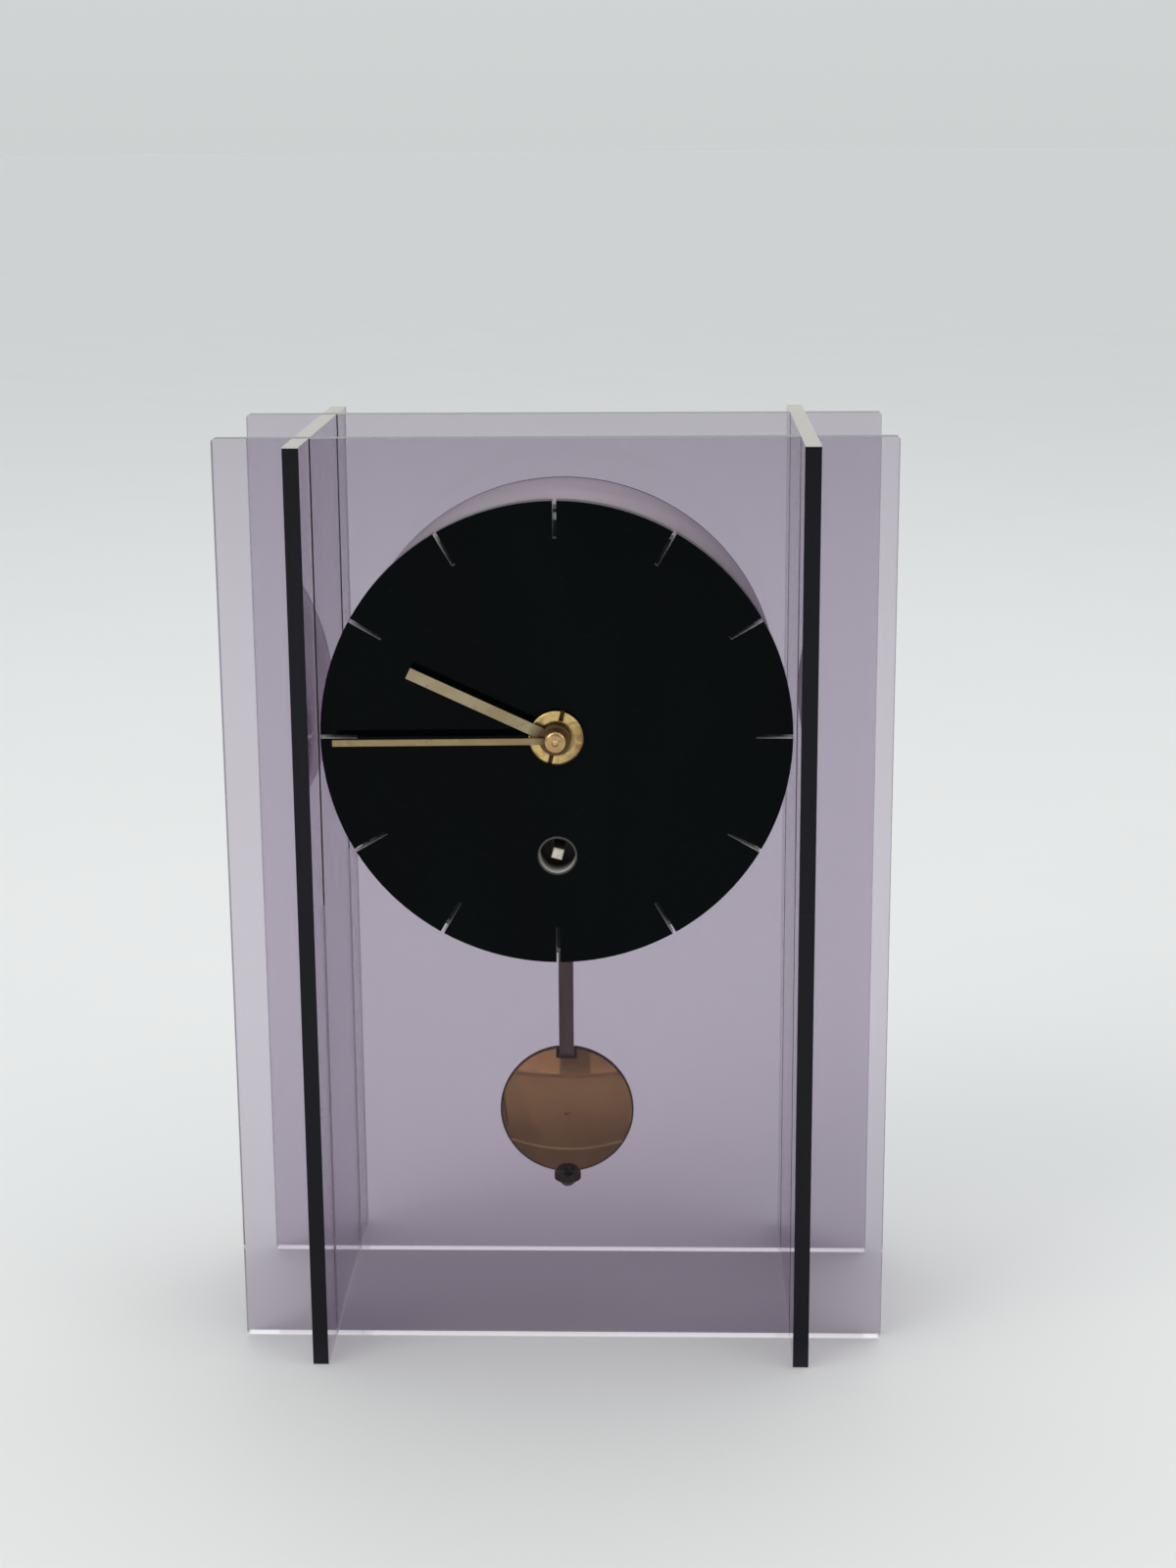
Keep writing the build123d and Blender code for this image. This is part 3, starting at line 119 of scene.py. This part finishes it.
def add_lamp(name, place, target, width, height, power, colour, mirrored_only):
    """An area lamp that the camera doesn't see. One that shows only in mirrors lights nothing else."""
    data = bpy.data.lights.new(name, "AREA")
    data.shape = "RECTANGLE"
    data.size, data.size_y = width, height
    data.energy = power
    data.color = colour
    lamp = bpy.data.objects.new(name, data)
    lamp.location = place
    lamp.rotation_euler = (Vector(target) - Vector(place)).to_track_quat("-Z", "Y").to_euler()
    lamp.visible_camera = False
    lamp.visible_transmission = mirrored_only
    lamp.visible_diffuse = not mirrored_only
    if mirrored_only:
        data.use_nodes = True
        tree = data.node_tree
        path = tree.nodes.new("ShaderNodeLightPath")
        mirrored = tree.nodes.new("ShaderNodeMath")
        mirrored.operation = "GREATER_THAN"
        tree.links.new(path.outputs["Glossy Depth"], mirrored.inputs[0])
        tree.links.new(mirrored.outputs[0], tree.nodes["Emission"].inputs["Strength"])
    bpy.context.scene.collection.objects.link(lamp)


def feed(tree, value, socket):
    """Give a socket another node's output, or a constant number or colour."""
    if isinstance(value, bpy.types.NodeSocket):
        tree.links.new(value, socket)
    else:
        socket.default_value = (*value, 1.0) if isinstance(value, tuple) else value


class Look:
    """A Principled material whose patterns follow the piece's own coordinates, in metres."""

    def __init__(self, name):
        self.material = bpy.data.materials.new(name)
        self.material.use_nodes = True
        self.tree = self.material.node_tree
        self.shader = self.tree.nodes["Principled BSDF"]
        self.coordinates = self.tree.nodes.new("ShaderNodeTexCoord")
        self.heights = []

    def set(self, **values):
        """Constants on the shader's own sockets, with _ for the spaces in their names."""
        for key, value in values.items():
            feed(self.tree, value, self.shader.inputs[key.replace("_", " ")])
        return self

    def link(self, output, socket):
        """Drive one of the shader's sockets by another node's output."""
        self.tree.links.new(output, self.shader.inputs[socket])

    def math(self, operation, *inputs):
        """Output of one Math node."""
        node = self.tree.nodes.new("ShaderNodeMath")
        node.operation = operation
        for number, value in enumerate(inputs):
            feed(self.tree, value, node.inputs[number])
        return node.outputs[0]

    def noise(self, scale, stretch=(1, 1, 1), turn=(0, 0, 0), detail=3.0, roughness=0.5, distortion=0.0):
        """Noise from 0 to 1 with about scale spots to the metre."""
        mapping = self.tree.nodes.new("ShaderNodeMapping")
        mapping.inputs["Rotation"].default_value = [math.radians(angle) for angle in turn]
        mapping.inputs["Scale"].default_value = stretch
        noise = self.tree.nodes.new("ShaderNodeTexNoise")
        noise.inputs["Scale"].default_value = scale
        noise.inputs["Detail"].default_value = detail
        noise.inputs["Roughness"].default_value = roughness
        noise.inputs["Distortion"].default_value = distortion
        self.tree.links.new(self.coordinates.outputs["Object"], mapping.inputs["Vector"])
        self.tree.links.new(mapping.outputs["Vector"], noise.inputs["Vector"])
        return noise.outputs["Fac"]

    def spread(self, value, low, high, from_low=0.3, from_high=0.7):
        """Value, taken from one span to another and held there."""
        node = self.tree.nodes.new("ShaderNodeMapRange")
        for number, limit in enumerate((from_low, from_high, low, high), 1):
            node.inputs[number].default_value = limit
        self.tree.links.new(value, node.inputs[0])
        return node.outputs[0]

    def mix(self, factor, first, second):
        """Colour mixed from first to second, each a colour or another output."""
        node = self.tree.nodes.new("ShaderNodeMix")
        node.data_type = "RGBA"
        feed(self.tree, factor, node.inputs["Factor"])
        feed(self.tree, first, node.inputs[6])
        feed(self.tree, second, node.inputs[7])
        return node.outputs[2]

    def let_lamps_through(self, colour):
        """Lamps shine through the clear piece, so that what is behind it isn't in full shadow."""
        path = self.tree.nodes.new("ShaderNodeLightPath")
        clear = self.tree.nodes.new("ShaderNodeBsdfTransparent")
        clear.inputs["Color"].default_value = (*colour, 1.0)
        either = self.tree.nodes.new("ShaderNodeMixShader")
        self.tree.links.new(path.outputs["Is Shadow Ray"], either.inputs[0])
        self.tree.links.new(self.shader.outputs[0], either.inputs[1])
        self.tree.links.new(clear.outputs[0], either.inputs[2])
        self.tree.links.new(either.outputs[0], self.tree.nodes["Material Output"].inputs["Surface"])

    def near(self, distance, radius, soft=0.0002):
        """1 where distance is under radius, falling to 0 over soft metres."""
        return self.spread(distance, 1.0, 0.0, radius, radius + soft)

    def from_axis(self, x, z):
        """Distance from a line along Y."""
        place = self.place()
        return self.math("SQRT", self.math("ADD",
                         self.math("POWER", self.math("SUBTRACT", place[X], x), 2.0),
                         self.math("POWER", self.math("SUBTRACT", place[Z], z), 2.0)))

    def normal(self):
        """The piece's own x, y and z of the surface direction."""
        node = self.tree.nodes.new("ShaderNodeSeparateXYZ")
        self.tree.links.new(self.coordinates.outputs["Normal"], node.inputs[0])
        return node.outputs

    def place(self):
        """The piece's own x, y and z, in metres."""
        node = self.tree.nodes.new("ShaderNodeSeparateXYZ")
        self.tree.links.new(self.coordinates.outputs["Object"], node.inputs[0])
        return node.outputs

    def bump(self, height, distance):
        """Relief of at most distance metres, laid over any relief made before."""
        node = self.tree.nodes.new("ShaderNodeBump")
        node.inputs["Distance"].default_value = distance
        self.tree.links.new(height, node.inputs["Height"])
        if self.heights:
            self.tree.links.new(self.heights[-1], node.inputs["Normal"])
        self.heights.append(node.outputs["Normal"])
        self.link(node.outputs["Normal"], "Normal")


def wear(name, colour, dull, roughness, metallic=1.0, grain=(1, 1, 1), relief=0.00001, spots=0.5):
    """Metal or plastic with clouded tarnish, uneven polish and a fine grain along one direction."""
    look = Look(name).set(Metallic=metallic)
    clouds = look.noise(55.0, detail=4.0, distortion=0.4)
    specks = look.noise(620.0, detail=2.0)
    tone = look.mix(look.spread(clouds, 0.0, 1.0), colour, dull)
    darker = tuple(value * 0.55 for value in dull)
    tone = look.mix(look.spread(specks, 0.0, spots, 0.6, 0.78), tone, darker)
    look.link(tone, "Base Color")
    grain_noise = look.noise(2500.0, stretch=grain, detail=2.0)
    polish = look.math("ADD", look.spread(clouds, roughness * 0.8, roughness * 1.25),
                       look.spread(grain_noise, -0.04, 0.05))
    look.link(polish, "Roughness")
    look.bump(grain_noise, relief)
    look.bump(clouds, relief)
    return look


def acrylic(name, face_axis, slot_axis, slot_place, node, frosted_top, glow):
    """Clear lilac sheet. Its faces look along face_axis, and the rest are edges, near black as painted shade
    but for the lowest.
    The walls of its lap slots, at slot_place from the middle, are left sawn, a frosted top is pale and dull,
    and the lowest edge has a painted glow, as emission, for the light that the sheet gathers. The upper and
    lower edges are told by their place, because the surface direction turns round where light leaves the sheet."""
    low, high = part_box(node)
    look = Look(name).set(IOR=ACRYLIC_IOR, Specular_Tint=(0.38, 0.38, 0.41), Emission_Strength=glow)
    across = look.normal()
    place = look.place()
    face = look.math("GREATER_THAN", look.math("ABSOLUTE", across[face_axis]), FACING)
    edge = look.math("SUBTRACT", 1.0, face)
    level = look.math("GREATER_THAN", look.math("ABSOLUTE", across[Z]), LEVEL)
    upper = look.math("MULTIPLY", level, look.math("GREATER_THAN", place[Z], high.z - EDGE_REACH))
    lower = look.math("MULTIPLY", level, look.math("LESS_THAN", place[Z], low.z + EDGE_REACH))
    beside = look.math("SUBTRACT", look.math("ABSOLUTE", place[slot_axis]), slot_place)
    lap = look.math("MULTIPLY", look.math("LESS_THAN", look.math("ABSOLUTE", beside), SLOT_REACH),
                    look.math("GREATER_THAN", look.math("ABSOLUTE", across[slot_axis]), FACING))
    saw_stretch = tuple(0.12 if axis == face_axis else 1.0 for axis in range(3))
    saw = look.noise(1900.0, stretch=saw_stretch, detail=3.0)
    smear = look.noise(16.0, detail=4.0, distortion=1.2)
    scratches = look.noise(900.0, stretch=(1.0, 1.0, 0.06), turn=(12, 7, 0), detail=2.0)
    sawn = look.math("MAXIMUM", lap, upper) if frosted_top else lap
    polish = look.math("ADD", look.math("MULTIPLY", face, look.spread(smear, 0.0, 0.03)),
                       look.math("MULTIPLY", edge, look.spread(saw, 0.04, 0.09)))
    look.link(look.math("ADD", polish, look.math("MULTIPLY", sawn, 0.4)), "Roughness")
    tone = look.mix(look.math("MULTIPLY", upper, float(frosted_top)), (1.0, 1.0, 1.0), (0.64, 0.62, 0.56))
    pale = look.math("MAXIMUM", upper, lower) if frosted_top else lower
    # Painted shade: the edges, but for the pale and sawn ones, are near black and partly opaque.
    rim = look.math("SUBTRACT", edge, look.math("MAXIMUM", pale, lap))
    tone = look.mix(rim, tone, (0.010, 0.010, 0.018))
    look.link(look.mix(lap, tone, (0.12, 0.10, 0.13)), "Base Color")
    # Painted glow: the lowest edge emits light, as if gathered by the sheet.
    look.link(look.mix(lower, (0.0, 0.0, 0.0), (0.93, 1.0, 0.88)), "Emission Color")
    solid = look.math("ADD", look.math("MULTIPLY", upper, 0.75 * frosted_top),
                      look.math("MULTIPLY", lap, 0.2))
    solid = look.math("ADD", solid, look.math("MULTIPLY", rim, 0.4))
    look.link(look.math("SUBTRACT", 1.0, solid), "Transmission Weight")
    look.bump(look.math("MULTIPLY", sawn, saw), 0.00005)
    look.bump(look.math("MULTIPLY", face, scratches), 0.0000006)
    look.let_lamps_through((0.96, 0.96, 0.96))
    absorb = look.tree.nodes.new("ShaderNodeVolumeAbsorption")
    absorb.inputs["Color"].default_value = (*SHEET_TINT, 1.0)
    absorb.inputs["Density"].default_value = SHEET_DENSITY
    output = look.tree.nodes["Material Output"]
    look.tree.links.new(absorb.outputs["Volume"], output.inputs["Volume"])
    return look


def dial_look():
    """Deep black acrylic disc. The walls of its slots are frosted and painted pale, with painted light that
    grows towards the rim, and its rim is dark.
    """
    look = Look("dial_black").set(IOR=ACRYLIC_IOR, Specular_IOR_Level=0.05)
    facing = look.math("ABSOLUTE", look.normal()[Y])
    wall = look.math("LESS_THAN", facing, WALL)
    smear = look.noise(14.0, stretch=(1, 1, 0.35), detail=4.0, distortion=1.0)
    dust = look.noise(1500.0, detail=1.0)
    black = look.mix(look.spread(smear, 0.0, 1.0), (0.0006, 0.0012, 0.0020), (0.0011, 0.0034, 0.0031))
    black = look.mix(look.spread(dust, 0.0, 0.25, 0.74, 0.8), black, (0.05, 0.05, 0.05))
    low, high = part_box("dial_disc")
    around = look.from_axis((low.x + high.x) / 2, (low.z + high.z) / 2)
    radius = (high.x - low.x) / 2
    # Painted light and shade: the frosted slot walls go from grey 9 mm in from the rim to pale 1 mm from it.
    outwards_light = look.spread(around, 0.0, 1.0, radius - DIAL_SLOT_LIGHT_FADE[0], radius - DIAL_SLOT_LIGHT_FADE[1])
    pale = look.mix(outwards_light, (0.34, 0.34, 0.34), (0.78, 0.77, 0.76))
    rim = look.spread(around, 0.0, 1.0, radius - DIAL_RIM[0], radius - DIAL_RIM[1])
    pale = look.mix(rim, pale, (0.16, 0.16, 0.165))
    look.link(look.mix(wall, black, pale), "Base Color")
    polish = look.math("ADD", look.spread(smear, 0.05, 0.13), look.math("MULTIPLY", wall, 0.4))
    look.link(polish, "Roughness")
    look.bump(look.noise(2200.0, detail=2.0), 0.0000015)
    return look


def drum_look():
    """Satin strip with faint handling marks, a fine grain and a dark line where it meets the rear sheet."""
    look = Look("drum_satin").set(Metallic=0.2)
    clouds = look.noise(40.0, detail=4.0, distortion=0.5)
    grain = look.noise(1800.0, stretch=(0.25, 2.5, 0.25), detail=2.0)
    tone = look.mix(look.spread(clouds, 0.0, 1.0), (0.54, 0.485, 0.50), (0.42, 0.365, 0.375))
    tone = look.mix(look.spread(grain, 0.0, 0.5), tone, (0.33, 0.29, 0.31))
    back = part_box("drum_case")[1].y
    end = look.math("SUBTRACT", back, look.place()[Y])
    look.link(look.mix(look.near(end, DRUM_END_LINE), tone, (0.05, 0.04, 0.045)), "Base Color")
    look.link(look.spread(grain, 0.36, 0.52), "Roughness")
    look.bump(grain, 0.000012)
    return look


def rod_look():
    """Brown lacquer over a flat strip, with a fine grain along it."""
    look = Look("rod_dark").set(Metallic=0.3, Specular_IOR_Level=0.3)
    clouds = look.noise(160.0, stretch=(1, 1, 0.2), detail=4.0)
    grain = look.noise(2600.0, stretch=(1, 1, 0.04), detail=2.0)
    tone = look.mix(look.spread(clouds, 0.0, 1.0), (0.17, 0.125, 0.108), (0.11, 0.082, 0.070))
    look.link(look.mix(look.spread(grain, 0.0, 0.4), tone, (0.19, 0.14, 0.115)), "Base Color")
    look.link(look.spread(clouds, 0.38, 0.52), "Roughness")
    look.bump(grain, 0.000006)
    return look


def bob_look():
    """Lacquered aged brass pressing, nearly a mirror, with tarnish, streaks, small spots, a dark rim and
    painted shade in the notch at its top.
    """
    look = Look("bob_brass").set(Metallic=1.0, Coat_Weight=0.1, Coat_Roughness=0.04)
    clouds = look.noise(38.0, detail=5.0, distortion=0.8)
    streaks = look.noise(700.0, stretch=(1.0, 1.0, 0.05), turn=(0, -38, 0), detail=3.0)
    spots = look.noise(480.0, detail=2.0)
    low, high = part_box("bob_back")
    tone = look.mix(look.spread(clouds, 0.0, 0.8), (0.40, 0.235, 0.10), (0.28, 0.15, 0.062))
    tone = look.mix(look.spread(streaks, 0.0, 0.12, 0.6, 0.75), tone, (0.46, 0.31, 0.16))
    tone = look.mix(look.spread(spots, 0.0, 0.5, 0.68, 0.76), tone, (0.07, 0.04, 0.025))
    middle = (low + high) / 2
    radius = (high.x - low.x) / 2
    around = look.from_axis(middle.x, middle.z)
    rim = look.spread(around, 0.0, 1.0, radius - BOB_RIM[0], radius - BOB_RIM[1])
    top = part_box("bob_front")[1].z
    # Painted shade: a dark patch 7 mm wide and about 4 mm deep where the rod enters the bob's top.
    beside = look.near(look.math("ABSOLUTE", look.place()[X]), BOB_NOTCH_HALF)
    above = look.spread(look.place()[Z], 0.0, 1.0, top - BOB_NOTCH_DEPTH[0], top - BOB_NOTCH_DEPTH[1])
    notch_shade = look.math("MULTIPLY", beside, above)
    look.link(look.mix(look.math("MAXIMUM", rim, notch_shade), tone, (0.020, 0.012, 0.009)), "Base Color")
    look.link(look.math("ADD", look.spread(clouds, 0.025, 0.055), look.spread(streaks, 0.0, 0.03)), "Roughness")
    look.bump(clouds, 0.000008)
    look.bump(streaks, 0.0000006)
    return look


def sleeve_look():
    """Turned tube with a dark rim, and a bright bore with painted shade that gets darker inwards."""
    look = Look("bright_metal").set(Metallic=0.25)
    rings = look.noise(2400.0, stretch=(0.1, 1, 0.1), detail=2.0)
    front = look.math("LESS_THAN", look.normal()[Y], FRONT)
    deep = look.math("SUBTRACT", look.place()[Y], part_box("winding_sleeve")[0].y)
    bore = look.mix(look.spread(rings, 0.0, 1.0), (0.95, 0.93, 0.89), (0.78, 0.75, 0.71))
    # Painted shade: the bore darkens from 1 to 9 mm in from the sleeve's front.
    bore = look.mix(look.spread(deep, 0.0, 1.0, *SLEEVE_SHADE_FADE), bore, (0.10, 0.085, 0.07))
    look.link(look.mix(front, bore, (0.060, 0.058, 0.052)), "Base Color")
    look.link(look.spread(rings, 0.34, 0.5), "Roughness")
    look.bump(rings, 0.00001)
    return look


def square_look():
    """Winding square with a bright end and dark sides."""
    look = Look("square_steel").set(Metallic=0.3)
    clouds = look.noise(600.0, detail=3.0)
    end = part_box("barrel_arbor")[0].y
    tip = look.spread(look.place()[Y], 1.0, 0.0, end + SQUARE_END[0], end + SQUARE_END[1])
    cream = look.mix(look.spread(clouds, 0.0, 1.0), (0.80, 0.76, 0.67), (0.60, 0.55, 0.46))
    look.link(look.mix(tip, (0.07, 0.055, 0.045), cream), "Base Color")
    look.link(look.spread(clouds, 0.4, 0.55), "Roughness")
    look.bump(clouds, 0.00003)
    return look


def floor_look():
    """Plain pale matt floor with faint clouds."""
    look = Look("pale_floor").set(Roughness=0.6, Specular_IOR_Level=0.2)
    clouds = look.noise(7.0, detail=3.0)
    look.link(look.mix(clouds, (0.80, 0.81, 0.80), (0.83, 0.84, 0.83)), "Base Color")
    return look


def blend_along(tree, direction, start, end, first, second):
    """Colour that goes from first to second while direction goes from start to end."""
    along = tree.nodes.new("ShaderNodeMapRange")
    along.inputs[1].default_value, along.inputs[2].default_value = start, end
    tree.links.new(direction, along.inputs[0])
    blend = tree.nodes.new("ShaderNodeMix")
    blend.data_type = "RGBA"
    tree.links.new(along.outputs[0], blend.inputs["Factor"])
    feed(tree, first, blend.inputs[6])
    feed(tree, second, blend.inputs[7])
    return blend.outputs[2]


def soft_world():
    """An even soft sky, brighter overhead, and dimmer on the side that the dial faces but for the horizon."""
    world = bpy.data.worlds.new("soft_world")
    world.use_nodes = True
    tree = world.node_tree
    coordinates = tree.nodes.new("ShaderNodeTexCoord")
    parts = tree.nodes.new("ShaderNodeSeparateXYZ")
    tree.links.new(coordinates.outputs["Generated"], parts.inputs[0])
    backwards, upwards = parts.outputs[Y], parts.outputs[Z]
    sky = blend_along(tree, upwards, 0.0, 1.0, SKY_LEVEL, SKY_TOP)
    dimmed = blend_along(tree, backwards, *DIMMING, SKY_BEFORE_DIAL, sky)
    colour = blend_along(tree, upwards, *ABOVE_HORIZON, dimmed, sky)
    tree.links.new(colour, tree.nodes["Background"].inputs["Color"])
    bpy.context.scene.world = world


def add_stage():
    """A round floor just under the clock, and the lamps."""
    angles = [2 * math.pi * corner / FLOOR_CORNERS for corner in range(FLOOR_CORNERS)]
    points = [(0.0, 0.0, 0.0)]
    points += [(FLOOR_RADIUS * math.cos(angle), FLOOR_RADIUS * math.sin(angle), 0.0) for angle in angles]
    faces = [(0, corner + 1, (corner + 1) % FLOOR_CORNERS + 1) for corner in range(FLOOR_CORNERS)]
    floor = mesh_object("floor", points, faces)
    floor.location.z = -FLOOR_DROP
    floor.data.materials.append(floor_look().material)
    for lamp in LAMPS:
        add_lamp(*lamp)


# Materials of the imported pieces

def dress(look, *names):
    """Give the named nodes this look alone."""
    for name in names:
        mesh = nodes[name].data
        mesh.materials.clear()
        mesh.materials.append(look.material)


def hand_look(name, colour, dull, hub):
    """Matt brass blade, darkened within hub metres of the hands' axis."""
    look = wear(name, colour, dull, 0.42, relief=0.000004)
    tone = look.shader.inputs["Base Color"].links[0].from_socket
    low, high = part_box("hand_nut")
    middle = (low + high) / 2
    around = look.from_axis(middle.x, middle.z)
    look.link(look.mix(look.near(around, hub, HUB_FADE), tone, (0.13, 0.085, 0.05)), "Base Color")
    return look


def ring_nut_look():
    """Aged brass, blotchy, with painted shade on its right side and in its slots."""
    look = wear("ring_nut_brass", (0.90, 0.68, 0.28), (0.55, 0.37, 0.15), 0.2, spots=0.9, relief=0.00004)
    tone = look.shader.inputs["Base Color"].links[0].from_socket
    low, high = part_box("dial_ring_nut")
    middle = (low.x + high.x) / 2
    blotches = look.noise(420.0, detail=4.0, distortion=0.6)
    # Painted shade: the ring nut darkens towards its right side, with blotches of tarnish laid over it.
    side = look.math("ADD", look.spread(look.place()[X], 0.0, 0.7, middle, high.x),
                     look.spread(blotches, -0.35, 0.65))
    tone = look.mix(look.math("MAXIMUM", side, 0.0), tone, (0.30, 0.185, 0.085))
    # Painted shade in the slots and on the sides, from 0.6 to 1.2 mm behind the front face.
    sunk = look.math("SUBTRACT", look.place()[Y], low.y)
    look.link(look.mix(look.spread(sunk, 0.0, 1.0, *RING_SLOT_SHADE), tone, (0.05, 0.03, 0.015)), "Base Color")
    return look


def dress_all():
    """One look for each material slot of the record, and then the pieces that have a look of their own."""
    slots = {}
    for part in frame["record"]["subparts"]:
        slots.setdefault(part["material_slot"], []).append(part["node"])
    looks = {
        "dial_black": dial_look(),
        "disc_black": wear("disc_black", (0.045, 0.045, 0.05), (0.06, 0.06, 0.063), 0.55, metallic=0.0),
        "drum_satin": drum_look(),
        "bright_metal": sleeve_look(),
        "brass_old": wear("brass_old", (0.74, 0.55, 0.24), (0.36, 0.24, 0.10), 0.24, spots=0.8),
        "bob_brass": bob_look(),
        "brass": wear("brass", (0.70, 0.53, 0.26), (0.52, 0.38, 0.17), 0.26, grain=(0.05, 1, 1),
                      relief=0.000002),
        "steel": wear("steel", (0.56, 0.56, 0.58), (0.42, 0.42, 0.43), 0.3, grain=(0.15, 1, 1)),
        "square_steel": square_look(),
        "rod_dark": rod_look(),
    }
    for slot, look in looks.items():
        dress(look, *slots[slot])
    # Painted shade: the front plate is near black, for the dark inside of the movement behind the dial.
    plate_painted_shade = wear("plate_painted_shade", (0.035, 0.030, 0.024), (0.02, 0.018, 0.015), 0.5, metallic=0.4)
    nut_brown = wear("nut_brown", (0.060, 0.032, 0.021), (0.026, 0.014, 0.010), 0.3)
    hand_nut = wear("hand_nut_brass", (0.66, 0.46, 0.21), (0.33, 0.20, 0.095), 0.22, spots=0.9, relief=0.00004)
    dress(plate_painted_shade, "front_plate")
    dress(ring_nut_look(), "dial_ring_nut")
    dress(looks["brass_old"], "cannon_pinion")
    dress(nut_brown, "rating_nut", "rating_screw")
    dress(hand_nut, "hand_nut")
    dress(hand_look("hour_hand_brass", (0.47, 0.41, 0.27), (0.36, 0.29, 0.17), HOUR_HUB), "hour_hand")
    dress(hand_look("minute_hand_brass", (0.42, 0.32, 0.18), (0.31, 0.23, 0.12), MINUTE_HUB), "minute_hand")
    across = acrylic("acrylic_across", face_axis=Y, slot_axis=X, slot_place=SLOT_FROM_MIDDLE_ACROSS,
                     node="front_panel", frosted_top=False, glow=GLOW_ACROSS)
    along = acrylic("acrylic_along", face_axis=X, slot_axis=Y, slot_place=SLOT_FROM_MIDDLE_ALONG,
                    node="left_side_panel", frosted_top=True, glow=GLOW_ALONG)
    dress(across, "front_panel", "rear_panel")
    dress(along, "left_side_panel", "right_side_panel")


add_camera()
soft_world()
add_stage()
dress_all()
